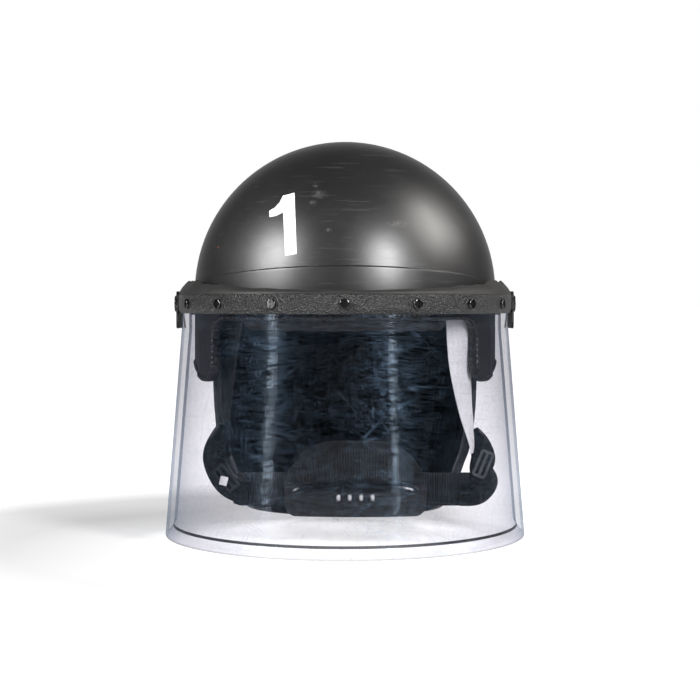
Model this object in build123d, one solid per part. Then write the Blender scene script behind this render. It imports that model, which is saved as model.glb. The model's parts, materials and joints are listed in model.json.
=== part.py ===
from build123d import *
import math
import os

# Frame: +Z up, front of the helmet towards -Y, floor at z = 0, all lengths in millimetres

# Clearances and overruns
over = 20
seat_gap = 0.05
soft_gap = 0.3
run_gap = 0.05

# Shell
brow_edge_height = 175
shell_half_width = 122
shell_half_length = 142
shell_half_height = 122
shell_centre_height = brow_edge_height + 20
shell_wall = 3.6
ear_front_reach = 0.5634 * shell_half_length
ear_low_height = brow_edge_height - 48
ear_low_reach = 0.4225 * shell_half_length
skirt_height = brow_edge_height - 37
skirt_start_reach = 0.1268 * shell_half_length
nape_height = brow_edge_height - 43
brow_corner_radius = 14
ear_corner_radius = 12
skirt_bend_radius = 20
brow_panel_step = 2
brow_panel_top = brow_edge_height + 42
brow_panel_shoulder = brow_edge_height + 31
brow_panel_shoulder_reach = 0.5352 * shell_half_length
brow_panel_bend = 18
brow_panel_end_reach = 0.3099 * shell_half_length

# Edge trim
trim_lip = 1
trim_cover = 3.5
trim_proud = 1.5

# Visor pivot
pivot_lead = 6
pivot_height = brow_edge_height + 11
pivot_shaft_radius = 4
pivot_head_radius = 6.5
pivot_head_height = 1.5
pivot_washer_radius = 7.5
pivot_washer_thickness = 0.6
pivot_spacer_radius = 9
pivot_gap = 0.4
pivot_nut_across = 13
pivot_nut_thickness = 5
bushing_wall = 2.5
cross_slot_length = 7
cross_slot_width = 1.3
cross_slot_depth = 0.8

# Face shield
shield_wall = 6
shield_side_room = 10
shield_front_room = 10
shield_side_spread = 13.4
shield_front_spread = 13
shield_top_half_width = shell_half_width + shield_side_room
shield_top_reach = shell_half_length + shield_front_room
shield_foot_half_width = shield_top_half_width + shield_side_spread
shield_foot_reach = shield_top_reach + shield_front_spread
shield_rear_reach = 20
shield_shoulder_height = brow_edge_height - 10
shield_bevel_height = 9
shield_bevel_rim = 1.5

# Brow band on the shield
band_bottom = pivot_height - 7.5
band_top = pivot_height + 7.5
band_wall = 2.5
band_bevel = 1.4
band_screw_degrees = (-65, -45, -23.5, 0, 23.5, 45, 65)
band_screw_radius = 2
band_screw_head_radius = 3.9
band_screw_head_height = 1.9
band_nut_radius = 4.5
band_nut_thickness = 1.5
head_round_share = 0.45
head_sink = 0.1

# Rubber gasket above the band
gasket_side_room = 2.3
gasket_inner_half_width = shell_half_width + gasket_side_room
gasket_inner_reach = shell_half_length
gasket_front_height = 2.2
gasket_side_height = 10
gasket_root_width = 6
soft_wall = 2.2
gasket_slope_end = 60

# Hinge plates and leaf springs
plate_thickness = 1.5
plate_front = 13
plate_rear = 30
plate_bottom = pivot_height - 20
plate_top = pivot_height + 10
plate_corner = 5
plate_notch_radius = 2
leaf_thickness = 0.8
leaf_width = 7
leaf_top = pivot_height - 5
leaf_lean = 2.2
leaf_foot_height = 3

# Linings inside the shell
liner_wall = 16
liner_skirt = 1
pad_thickness = 10
crown_pad_radius = 42
side_pad_length = 80
side_pad_height = 38
side_pad_middle = shell_centre_height + 30
pad_corner = 14
brow_pad_bottom = brow_edge_height - 9.5
brow_pad_thickness = 12
brow_pad_degrees = 84
brow_pad_round = 4
ear_pad_length = 78
ear_pad_top = brow_edge_height + 1
ear_pad_thickness = 17

# Neck protector and what carries it
collar_room = 17.5
collar_top = brow_edge_height - 17
collar_half_width = shell_half_width - collar_room
collar_wall = 8
collar_front_reach = 0.4014 * shell_half_length
hem_flat_reach = 0.7 * shell_half_length
collar_height_shares = (0, 0.09, 0.27, 0.43, 0.54, 0.66, 0.8, 1)
collar_width_shares = (0.755, 0.766, 0.83, 0.924, 0.963, 0.98, 0.99, 1)
piping_width = 3.2
piping_proud = 0.5
piping_lift = 30
carrier_bottom = brow_edge_height - 33
carrier_top = brow_edge_height - 24
carrier_front_reach = 0.3803 * shell_half_length
rivet_shaft_radius = 2
rivet_head_radius = 4.5
rivet_head_height = 1.6
carrier_rivet_degrees = (-78, -40, 0, 40, 78)

# Chin cup
cup_middle = 8.2
cup_width = 112
cup_bottom = 21
cup_top = 80
cup_reach = 0.4697 * shell_half_length
cup_wall = 4
cup_crown = 9
cup_corner = 9
cup_rim = 5
lobe_half_width = 50
lobe_height = 40
lobe_half_height = 12
lobe_reach = 8
vent_count = 4
vent_pitch = 8.8
vent_width = 4
vent_height = 6
vent_middle = 36.5
cup_end_width = 7
# Each row is one place on the cup's arch: its x as a share of the half width
# and its height as a share of the cup's
cup_arch_shares = (
    (0.985, 0.36), (0.966, 0.5), (0.884, 0.66), (0.732, 0.835), (0.53, 0.95), (0.28, 0.998), (0, 1),
)
vent_stud_gap = 0.2
vent_stud_sink = 1
rim_proud = 1.2
end_loop_wall = 3
cup_pad_bottom = 46
lining_thickness = 1.8

# Straps
leg_top = brow_edge_height + 15
loop_reach = 0.5263 * leg_top
web_height = 26
web_bottom = 0.28 * loop_reach
web_thickness = 2.4
web_left = -0.7213 * shell_half_width
web_right = 0.8525 * shell_half_width
web_gap = 0.35
leg_thickness = 1.8
leg_width = 25
loop_width = 19
# Each row is one strap section: its height as a share of leg_top, its x as a share of the shell's half width,
# how far it is ahead of the shell's middle as a share of the half length, its width and its turn in degrees
right_leg_shares = (
    (1.0, 0.7172, 0.5824, 1.0, 35),
    (0.935, 0.7172, 0.5824, 1.0, 35),
    (0.74, 0.7295, 0.5613, 0.95, 41),
    (0.56, 0.7623, 0.5225, 0.8, 52),
    (0.42, 0.8074, 0.4944, 0.72, 76),
)
left_leg_shares = (
    (1.0, -0.7172, 0.5824, 1.0, -35),
    (0.935, -0.7172, 0.5824, 1.0, -35),
    (0.73, -0.7377, 0.5331, 0.85, -52),
    (0.5, -0.7541, 0.4979, 0.72, -70),
    (0.39, -0.7377, 0.4944, 0.62, -78),
)
# Each row is one place on a loop's middle line: x, height and width
right_loop_shares = (
    (0.8197, 0.88, 0.4),
    (0.8607, 0.78, 0.8),
    (0.8852, 0.66, 1),
    (0.873, 0.565, 1),
    (0.9016, 0.47, 1),
    (0.8443, 0.385, 1),
    (0.7377, 0.38, 1),
)
left_loop_shares = (
    (-0.7787, 0.92, 0.4),
    (-0.8115, 0.78, 0.9),
    (-0.832, 0.66, 1),
    (-0.8033, 0.54, 1),
    (-0.7377, 0.44, 1),
    (-0.623, 0.38, 1),
)
web_shift = 1.4
web_round_share = 0.08
anchor_width = 20
anchor_depth = 14
anchor_bottom = leg_top - 11
anchor_top = leg_top + 2
anchor_rivet_height = leg_top - 4
slider_length = 22
slider_width = 11
slider_bar = 2
slider_thickness = 1.6
right_slider_share = (0.8852, 0.61)
right_slider_turn = 68
left_slider_share = (-0.7623, 0.5)
left_slider_turn = -50
tag_size = 6.5
tag_thickness = 0.6
tag_share = (-0.7746, 0.48)

# Places worked out from the sizes above
shell_y = (pivot_lead + shield_foot_reach - shell_half_length - rivet_head_height) / 2
pivot_y = shell_y - pivot_lead
oval = shell_half_length / shell_half_width
shell_inner_half_width = shell_half_width - shell_wall
shield_inner_half_width = shield_top_half_width - shield_wall
band_half_width = shield_top_half_width + band_wall
band_reach = shield_top_reach + band_wall
plate_outer = band_half_width + plate_thickness
band_middle = (band_bottom + band_top) / 2
collar_front = shell_y - collar_front_reach
cup_face = shell_y - cup_reach
wide = 2 * shield_foot_half_width
skirt_depth = shell_centre_height - ear_low_height + over

os.makedirs("parts", exist_ok=True)


def save(name, shape):
    export_step(shape, "parts/" + name + ".step")


def dome(half_width, half_length, half_height, skirt):
    depth = -skirt / half_height
    outline = CenterArc((0, 0), 1, 0, 90)
    outline += Polyline((0, 1), (0, depth), (1, depth), (1, 0))
    body = revolve(Plane.XZ * make_face(outline), Axis.Z)
    body = scale(body, by=(half_width, half_length, half_height))
    return Pos(0, shell_y, shell_centre_height) * body


def shell_layer(inset, skirt):
    return dome(shell_half_width - inset, shell_half_length - inset, shell_half_height - inset, skirt)


def u_face(half_width, arc_reach, straight_reach, facing):
    start = 180 if facing < 0 else 0
    bow = EllipticalCenterArc((0, 0), half_width, arc_reach, start_angle=start, arc_size=180)
    side = -facing * straight_reach
    legs = Polyline((half_width, 0), (half_width, side), (-half_width, side), (-half_width, 0))
    return make_face(bow + legs)


def side_prism(outline, reach):
    return extrude(Plane.YZ * make_face(outline), amount=reach, both=True)


def along_x(side, start, end, radius, y, z):
    bar = extrude(Plane.YZ * Circle(radius), amount=end - start)
    bar = Pos(start, y, z) * bar
    return bar if side > 0 else mirror(bar, about=Plane.YZ)


def opening_prism(grow):
    brow = brow_edge_height + grow
    front = shell_y - ear_front_reach + grow
    corners = [
        (-wide, brow),
        (front, brow),
        (front, ear_low_height + grow),
        (shell_y - ear_low_reach, ear_low_height + grow),
        (shell_y - skirt_start_reach, skirt_height + grow),
        (wide, nape_height + grow),
    ]
    radii = [brow_corner_radius + grow, ear_corner_radius - grow, ear_corner_radius, skirt_bend_radius]
    outline = FilletPolyline(*corners, radius=radii)
    outline += Polyline((wide, nape_height + grow), (wide, -over), (-wide, -over), (-wide, brow))
    return side_prism(outline, wide)


def rivet_rods(start, radius, length):
    rods = []
    for turn in carrier_rivet_degrees:
        rod = Cylinder(radius, length - start, align=(Align.CENTER, Align.CENTER, Align.MIN))
        across = math.sin(math.radians(turn))
        along = oval * math.cos(math.radians(turn))
        heading = math.degrees(math.atan2(across, along))
        place = Pos(0, shell_y, (carrier_bottom + carrier_top) / 2)
        rods.append(place * Rot(0, 0, -heading) * Rot(-90, 0, 0) * Pos(0, 0, start) * rod)
    return rods


def make_shell():
    body = shell_layer(0, skirt_depth)
    far = shell_y - shell_half_length - over
    end = shell_y - brow_panel_end_reach
    brow = brow_edge_height
    shoulder = (shell_y - brow_panel_shoulder_reach, brow_panel_shoulder)
    outline = FilletPolyline((end, brow), shoulder, (far, brow_panel_top), radius=brow_panel_bend)
    outline += Polyline((far, brow_panel_top), (far, brow), (end, brow))
    body += shell_layer(-brow_panel_step, skirt_depth) & side_prism(outline, wide)
    body -= shell_layer(shell_wall, skirt_depth + over)
    body -= opening_prism(0)
    for side in (-1, 1):
        body -= along_x(side, 0, wide, pivot_shaft_radius + seat_gap, pivot_y, pivot_height)
    for hole in rivet_rods(0, rivet_shaft_radius + seat_gap, wide):
        body -= hole
    for side in (-1, 1):
        body -= anchor_rod(side, rivet_shaft_radius + seat_gap)
    return body


def make_trim(shell):
    thick = shell_layer(-trim_lip, skirt_depth + over)
    brow_floor = brow_edge_height - trim_proud
    block = Box(2 * wide, 2 * wide, wide, align=(Align.CENTER, Align.CENTER, Align.MIN))
    above = Pos(0, 0, brow_floor) * block
    thick += shell_layer(-trim_lip - brow_panel_step, skirt_depth) & above
    thick -= shell_layer(shell_wall + trim_lip, skirt_depth + 2 * over)
    return ((thick - opening_prism(-trim_proud)) & opening_prism(trim_cover)) - shell


def inner_dome():
    return shell_layer(shell_wall, skirt_depth + over)


def make_liner():
    depth = shell_wall + soft_gap
    return shell_layer(depth, liner_skirt) - shell_layer(depth + liner_wall, liner_skirt + over)


def lining_pad(region):
    depth = shell_wall + 2 * soft_gap + liner_wall
    layer = shell_layer(depth, liner_skirt) - shell_layer(depth + pad_thickness, liner_skirt + over)
    return layer & region


def crown_pad():
    region = Cylinder(crown_pad_radius, shell_half_height, align=(Align.CENTER, Align.CENTER, Align.MIN))
    return lining_pad(Pos(0, shell_y, shell_centre_height + shell_half_height / 2) * region)


def side_pad(side):
    face = Plane.YZ * RectangleRounded(side_pad_length, side_pad_height, pad_corner)
    return lining_pad(Pos(0, shell_y, side_pad_middle) * extrude(face, amount=side * wide))


def rear_pad():
    face = Plane.XZ * RectangleRounded(side_pad_length, side_pad_height, pad_corner)
    return lining_pad(Pos(0, shell_y, side_pad_middle) * extrude(face, amount=-wide))


def brow_pad():
    top = shell_centre_height - liner_skirt - soft_gap
    outer = shell_inner_half_width - trim_lip - soft_gap
    face = RectangleRounded(brow_pad_thickness, top - brow_pad_bottom, brow_pad_round)
    face = Pos(outer - brow_pad_thickness / 2, (top + brow_pad_bottom) / 2) * face
    band = revolve(Plane.XZ * face, Axis.Z, revolution_arc=brow_pad_degrees)
    band = Rot(0, 0, -90 - brow_pad_degrees / 2) * band
    return Pos(0, shell_y, 0) * scale(band, by=(1, oval, 1))


def ear_pad(side):
    low = collar_top + soft_gap
    face = Plane.YZ * RectangleRounded(ear_pad_length, ear_pad_top - low, brow_pad_round)
    block = Pos(0, shell_y, (low + ear_pad_top) / 2) * extrude(face, amount=side * wide)
    depth = shell_wall + trim_lip + soft_gap
    layer = shell_layer(depth, skirt_depth) - shell_layer(depth + ear_pad_thickness, skirt_depth + over)
    return layer & block


def collar_block(inset, reach):
    sections = []
    for height_share, width_share in zip(collar_height_shares, collar_width_shares):
        half = collar_half_width * width_share
        face = u_face(half - inset, half * oval - inset, reach, 1)
        sections.append(Pos(0, shell_y, height_share * collar_top) * face)
    return loft(sections)


def make_collar():
    body = collar_block(0, collar_front_reach) - collar_block(collar_wall, collar_front_reach + over)
    foot = shell_y + hem_flat_reach
    ahead = collar_front - over
    under = Polyline((ahead, -over), (ahead, piping_lift), (collar_front, piping_lift),
                     (foot, 0), (foot, -over), close=True)
    return body - side_prism(under, wide)


def make_piping():
    ring = collar_block(-piping_proud, collar_front_reach + piping_width)
    ring -= collar_block(collar_wall + piping_proud, collar_front_reach + over)
    keep = Box(wide, piping_width, 2 * collar_top, align=(Align.CENTER, Align.MAX, Align.MIN))
    return ring & (Pos(0, collar_front, piping_lift) * keep)


def make_carrier():
    tall = carrier_top - carrier_bottom
    outer = shell_layer(shell_wall + soft_gap, skirt_depth)
    slab = Box(wide, wide + collar_front_reach, tall, align=(Align.CENTER, Align.MIN, Align.MIN))
    ring = outer & (Pos(0, shell_y - carrier_front_reach, carrier_bottom) * slab)
    half = collar_half_width + soft_gap
    hole = u_face(half, half * oval, wide, 1)
    core = Pos(0, shell_y, carrier_bottom - over) * extrude(hole, amount=tall + 2 * over)
    return ring - [core] - rivet_rods(0, rivet_shaft_radius + seat_gap, wide)


def make_carrier_rivets():
    rods = rivet_rods(collar_half_width + collar_wall / 2, rivet_shaft_radius, 2 * collar_half_width)
    heads = rivet_rods(collar_half_width, rivet_head_radius, 2 * collar_half_width)
    outside = shell_layer(0, skirt_depth)
    cap = shell_layer(-rivet_head_height, skirt_depth)
    half = collar_half_width + soft_gap
    core = u_face(half, half * oval, wide, 1)
    core = Pos(0, shell_y, 0) * extrude(core, amount=collar_top)
    return [((rod & cap) - core) + ((head & cap) - outside) for rod, head in zip(rods, heads)]


def visor_face(half_width, reach, rear):
    return Pos(0, pivot_y) * u_face(half_width, reach, rear, -1)


def visor_block(inset, rear):
    top = visor_face(shield_top_half_width - inset, shield_top_reach - inset, rear)
    foot = visor_face(shield_foot_half_width - inset, shield_foot_reach - inset, rear)
    body = loft([foot, Pos(0, 0, shield_shoulder_height) * top], ruled=True)
    rise = band_top - shield_shoulder_height
    return body + Pos(0, 0, shield_shoulder_height) * extrude(top, amount=rise)


def make_shield():
    body = visor_block(0, shield_rear_reach) - visor_block(shield_wall, shield_rear_reach + over)
    grow = (shield_foot_half_width - shield_top_half_width) * shield_bevel_height / shield_shoulder_height
    rear = shield_rear_reach + over
    inset = grow + shield_wall
    mid = visor_face(shield_foot_half_width - inset, shield_foot_reach - inset, rear)
    rim = visor_face(shield_foot_half_width - shield_bevel_rim, shield_foot_reach - shield_bevel_rim, rear)
    body -= loft([rim, Pos(0, 0, shield_bevel_height) * mid], ruled=True)
    for side in (-1, 1):
        hole_radius = pivot_shaft_radius + run_gap + bushing_wall
        body -= along_x(side, 0, wide, hole_radius, pivot_y, pivot_height)
    for rod in band_rods(0, wide, band_screw_radius + seat_gap):
        body -= rod
    return body


def make_band():
    rise = band_top - band_bottom
    outer = extrude(visor_face(band_half_width, band_reach, shield_rear_reach), amount=rise)
    rim = outer.faces().sort_by(Axis.Z)[0].edges()
    outer = chamfer(rim.filter_by(GeomType.LINE, reverse=True), band_bevel)
    hollow = visor_face(shield_top_half_width, shield_top_reach, shield_rear_reach + over)
    inner = extrude(hollow, amount=rise)
    body = Pos(0, 0, band_bottom) * (outer - inner)
    for side in (-1, 1):
        hole_radius = pivot_shaft_radius + run_gap + bushing_wall
        body -= along_x(side, 0, wide, hole_radius, pivot_y, pivot_height)
    for rod in band_rods(0, wide, band_screw_radius + seat_gap):
        body -= rod
    return body


def band_place(turn):
    across = math.sin(math.radians(turn))
    ahead = math.cos(math.radians(turn))
    x = band_half_width * across
    y = pivot_y - band_reach * ahead
    heading = math.degrees(math.atan2(band_reach * across, band_half_width * ahead))
    return Pos(x, y, band_middle) * Rot(0, 0, heading) * Rot(90, 0, 0)


def band_rods(start, length, radius):
    bar = Cylinder(radius, length - start, align=(Align.CENTER, Align.CENTER, Align.CENTER))
    return [band_place(turn) * bar for turn in band_screw_degrees]


def cross_recess(height):
    from_top = (Align.CENTER, Align.CENTER, Align.MAX)
    slot = Box(cross_slot_length, cross_slot_width, cross_slot_depth, align=from_top)
    cross = slot + Rot(0, 0, 90) * slot
    return Pos(0, 0, height) * cross


def pan_head(radius, height):
    head = Cylinder(radius, height, align=(Align.CENTER, Align.CENTER, Align.MIN))
    return fillet(head.faces().sort_by(Axis.Z)[-1].edges(), height * head_round_share)


def make_band_screws():
    low = Align.MAX
    grip = band_wall + shield_wall
    screws = []
    for turn in band_screw_degrees:
        body = pan_head(band_screw_head_radius, band_screw_head_height)
        body -= cross_recess(band_screw_head_height)
        body = Pos(0, 0, head_sink) * body
        shaft = Cylinder(band_screw_radius, grip + head_sink, align=(Align.CENTER, Align.CENTER, low))
        body += Pos(0, 0, head_sink) * shaft
        screws.append(band_place(turn) * body)
    return screws


def make_band_nuts():
    grip = band_wall + shield_wall
    low = Align.MAX
    nuts = []
    for turn in band_screw_degrees:
        body = Cylinder(band_nut_radius, band_nut_thickness, align=(Align.CENTER, Align.CENTER, low))
        nuts.append(band_place(turn) * Pos(0, 0, -grip - head_sink) * body)
    return nuts


def make_gasket():
    tip = (gasket_inner_half_width + soft_wall, gasket_inner_reach + soft_wall)
    root = (band_half_width, band_reach)
    rear = shield_rear_reach
    low = Pos(0, 0, band_top)
    high = Pos(0, 0, band_top + gasket_side_height)
    outer = loft([low * visor_face(*root, rear), high * visor_face(*tip, rear)], ruled=True)
    root_in = (root[0] - gasket_root_width, root[1] - gasket_root_width)
    tip_in = (gasket_inner_half_width, gasket_inner_reach)
    feet = [low * visor_face(*root_in, rear + over), high * visor_face(*tip_in, rear + over)]
    inner = loft(feet, ruled=True)
    front = pivot_y - band_reach
    top = band_top + gasket_side_height
    slope = Polyline((front - over, band_top + gasket_front_height), (front, band_top + gasket_front_height),
                     (pivot_y - gasket_slope_end, top), (pivot_y - gasket_slope_end, top + over),
                     (front - over, top + over), close=True)
    return (outer - inner) - side_prism(slope, wide)


def make_bushing(side):
    start = shield_inner_half_width + seat_gap
    radius = pivot_shaft_radius + run_gap + bushing_wall - seat_gap
    outer = along_x(side, start, band_half_width, radius, pivot_y, pivot_height)
    return outer - along_x(side, 0, wide, pivot_shaft_radius + run_gap, pivot_y, pivot_height)


def make_spacer(side):
    face = shield_inner_half_width - pivot_gap
    body = along_x(side, shell_inner_half_width, face, pivot_spacer_radius, pivot_y, pivot_height)
    body -= shell_layer(0, skirt_depth)
    return body - along_x(side, 0, wide, pivot_shaft_radius + seat_gap, pivot_y, pivot_height)


def make_pivot_screw(side):
    seat = plate_outer + run_gap + pivot_washer_thickness
    start = shell_inner_half_width - pivot_nut_thickness
    shaft = along_x(1, start, seat, pivot_shaft_radius, pivot_y, pivot_height)
    head = pan_head(pivot_head_radius, pivot_head_height) - cross_recess(pivot_head_height)
    head = Pos(seat, pivot_y, pivot_height) * Rot(0, 90, 0) * head
    body = shaft + head
    return body if side > 0 else mirror(body, about=Plane.YZ)


def make_pivot_washer(side):
    start = plate_outer + run_gap
    body = along_x(side, start, start + pivot_washer_thickness, pivot_washer_radius, pivot_y, pivot_height)
    return body - along_x(side, 0, wide, pivot_shaft_radius + seat_gap, pivot_y, pivot_height)


def make_pivot_nut(side):
    hexagon = Plane.YZ * RegularPolygon(pivot_nut_across / 2, 6, major_radius=False)
    place = Pos(shell_inner_half_width - pivot_nut_thickness, pivot_y, pivot_height)
    body = place * extrude(hexagon, amount=2 * pivot_nut_thickness)
    body = body if side > 0 else mirror(body, about=Plane.YZ)
    body = body & inner_dome()
    return body - along_x(side, 0, wide, pivot_shaft_radius + seat_gap, pivot_y, pivot_height)


def make_plate(side):
    length = plate_front + plate_rear
    tall = plate_top - plate_bottom
    face = Plane.YZ * RectangleRounded(length, tall, plate_corner)
    middle = pivot_y + (plate_rear - plate_front) / 2
    body = Pos(band_half_width, middle, plate_bottom + tall / 2) * extrude(face, amount=plate_thickness)
    body -= along_x(1, 0, wide, pivot_shaft_radius + run_gap, pivot_y, pivot_height)
    body -= along_x(1, 0, wide, plate_notch_radius, pivot_y + plate_rear, plate_bottom + tall / 3)
    return body if side > 0 else mirror(body, about=Plane.YZ)


def make_leaf(side):
    y = pivot_y + shield_rear_reach + soft_gap
    outer = band_half_width
    path = Polyline((outer, leaf_top + leaf_foot_height), (outer, leaf_top),
                    (outer - leaf_lean, plate_bottom), (outer - leaf_lean - leaf_thickness, plate_bottom),
                    (outer - leaf_thickness, leaf_top),
                    (outer - leaf_thickness, leaf_top + leaf_foot_height), close=True)
    body = extrude(Plane.XZ * make_face(path), amount=-leaf_width)
    body = Pos(0, y, 0) * body
    return body if side > 0 else mirror(body, about=Plane.YZ)


def strap_leg(shares):
    sections = []
    for height, x, ahead, width, turn in shares:
        face = Rectangle(leg_width * width, leg_thickness)
        place = Pos(x * shell_half_width, shell_y - ahead * shell_half_length, height * leg_top)
        sections.append(place * Rot(0, 0, turn) * face)
    return loft(sections)


def web_face():
    return cup_face + cup_wall - web_shift


def strap_loop(shares):
    middle = Spline(*[Vector(x * shell_half_width, z * loop_reach) for x, z, width in shares])
    first, second = [], []
    for x, z, width in shares:
        at = Vector(x * shell_half_width, z * loop_reach)
        along = middle.tangent_at(middle.param_at_point(at))
        aside = Vector(-along.Y, along.X) * (width * loop_width / 2)
        first.append(at + aside)
        second.append(at - aside)
    outline = Spline(*first) + Line(first[-1], second[-1]) + Spline(*second) + Line(second[0], first[0])
    plate = extrude(Plane.XZ * make_face(outline), amount=web_thickness)
    return Pos(0, web_face() - web_gap, 0) * plate


def make_strap(leg_shares, loop_shares):
    return strap_leg(leg_shares) + strap_loop(loop_shares)


def make_webbing():
    body = Box(web_right - web_left, web_thickness, web_height, align=(Align.MIN, Align.MIN, Align.MIN))
    body = Pos(web_left, web_face(), web_bottom) * body
    return fillet(body.edges().filter_by(Axis.Y), web_height * web_round_share)


def anchor_place(side):
    height, x, ahead, width, turn = right_leg_shares[0]
    return Pos(side * x * shell_half_width, shell_y - ahead * shell_half_length, 0) * Rot(0, 0, side * turn)


def make_anchor(side):
    tall = anchor_top - anchor_bottom
    block = Box(anchor_width, anchor_depth, tall, align=(Align.CENTER, Align.MAX, Align.MIN))
    body = anchor_place(side) * Pos(0, -leg_thickness / 2 - soft_gap, anchor_bottom) * block
    body = body & inner_dome()
    return body - anchor_rod(side, rivet_shaft_radius + seat_gap)


def anchor_rod(side, radius):
    rod = Cylinder(radius, 2 * anchor_depth, align=(Align.CENTER, Align.CENTER, Align.MIN))
    place = Pos(0, -leg_thickness / 2 - soft_gap, anchor_rivet_height)
    return anchor_place(side) * place * Rot(90, 0, 0) * rod


def make_anchor_rivets():
    cap = shell_layer(-rivet_head_height - brow_panel_step, skirt_depth)
    outside = shell_layer(-brow_panel_step, skirt_depth)
    rivets = []
    for side in (-1, 1):
        body = anchor_rod(side, rivet_shaft_radius) & cap
        rivets.append(body + ((anchor_rod(side, rivet_head_radius) & cap) - outside))
    return rivets


def xz_place(share, lift):
    return Pos(share[0] * shell_half_width, loop_front() - lift, share[1] * loop_reach)


def loop_front():
    return web_face() - web_gap - web_thickness - seat_gap


def make_slider(share, turn):
    frame = RectangleRounded(slider_length, slider_width, slider_bar)
    gap = (slider_width - 3 * slider_bar) / 2
    slot = RectangleRounded(slider_length - 2 * slider_bar, gap, gap / 3)
    for way in (-1, 1):
        frame -= Pos(0, way * (gap + slider_bar) / 2) * slot
    body = extrude(Plane.XZ * Rot(0, 0, turn) * frame, amount=slider_thickness)
    return xz_place(share, 0) * body


def make_tag():
    body = extrude(Plane.XZ * RectangleRounded(tag_size, tag_size, tag_thickness), amount=tag_thickness)
    return xz_place(tag_share, slider_thickness) * body


def cup_outline(inset):
    half = cup_width / 2 - inset
    low = cup_bottom + inset
    rise = cup_top - cup_bottom - 2 * inset
    right = [(half * x, low + rise * z) for x, z in cup_arch_shares]
    left = [(-x, z) for x, z in reversed(right[:-1])]
    outline = Spline(*right, *left)
    base = (right[0][0], low)
    outline += FilletPolyline(right[0], base, (-base[0], low), left[-1], radius=cup_corner - inset / 2)
    return make_face(outline)


def cup_prism(inset):
    reach = cup_wall + cup_crown + over
    return Pos(cup_middle, cup_face + cup_wall, 0) * extrude(Plane.XZ * cup_outline(inset), amount=reach)


def cup_layer(outer, inner):
    half = cup_width / 2
    radius = (half * half + cup_crown * cup_crown) / (2 * cup_crown)
    place = Pos(cup_middle, cup_face - cup_wall - cup_crown + radius, (cup_bottom + cup_top) / 2)
    return place * (Cylinder(radius - outer, cup_width) - Cylinder(radius - inner, 2 * cup_width))


def make_lobe(sink):
    lobe = scale(Sphere(1), by=(lobe_half_width - sink, lobe_reach - sink, lobe_half_height - sink / 2))
    lobe = Pos(cup_middle, cup_face - cup_wall - cup_crown + rim_proud, lobe_height) * lobe
    return lobe & cup_layer(-2 * lobe_reach, cup_wall + sink)


def vent_place(step):
    return cup_middle + (step - (vent_count - 1) / 2) * vent_pitch


def make_cup():
    vent = extrude(Plane.XZ * RectangleRounded(vent_width, vent_height, vent_width / 3), amount=wide)
    vents = [Pos(vent_place(step), 0, vent_middle) * vent for step in range(vent_count)]
    plate = (cup_prism(0) & cup_layer(0, cup_wall)) - vents
    rim = (cup_prism(0) - cup_prism(cup_rim)) & cup_layer(-rim_proud, cup_wall)
    lobe = (make_lobe(0) & cup_prism(cup_rim)) - vents
    body = plate + rim + lobe
    for side in (-1, 1):
        body += cup_end_loop(side)
    return body


def cup_end_loop(side):
    front = cup_face - cup_wall / 4
    back = web_face() + web_thickness + web_gap + end_loop_wall
    tall = web_height + 2 * web_gap + 2 * end_loop_wall
    middle = web_bottom + web_height / 2
    block = Box(cup_end_width, back - front, tall, align=(Align.CENTER, Align.MIN, Align.CENTER))
    slot = Box(2 * cup_end_width, web_thickness + 2 * web_gap, web_height + 2 * web_gap,
               align=(Align.CENTER, Align.MIN, Align.CENTER))
    block -= Pos(0, web_face() - web_gap - front, 0) * slot
    x = cup_middle + side * (cup_width / 2 - cup_end_width)
    return Pos(x, front, middle) * block


def make_cup_lining():
    face = RectangleRounded(vent_pitch * vent_count + vent_width, vent_height + vent_width, vent_width)
    block = Pos(cup_middle, 0, vent_middle) * extrude(Plane.XZ * face, amount=wide)
    depth = cup_wall + seat_gap
    body = cup_layer(depth, depth + lining_thickness) & block
    front = cup_face - cup_wall - cup_crown - lobe_reach + rim_proud
    stud = RectangleRounded(vent_width - 2 * vent_stud_gap, vent_height - 2 * vent_stud_gap, vent_width / 4)
    stud = extrude(Plane.XZ * stud, amount=cup_crown + lobe_reach + cup_wall)
    keep = make_lobe(vent_stud_sink)
    for step in range(vent_count):
        body += (Pos(vent_place(step), front + cup_crown + lobe_reach + cup_wall, vent_middle) * stud) & keep
    return body


def make_cup_pad():
    depth = cup_wall + seat_gap
    across = cup_width - 3 * cup_end_width - 2 * web_gap
    keep = Box(across, wide, cup_top, align=(Align.CENTER, Align.CENTER, Align.MIN))
    layer = cup_layer(depth, depth + web_thickness) & cup_prism(cup_rim + web_gap)
    return layer & (Pos(cup_middle, 0, cup_pad_bottom) * keep)


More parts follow.
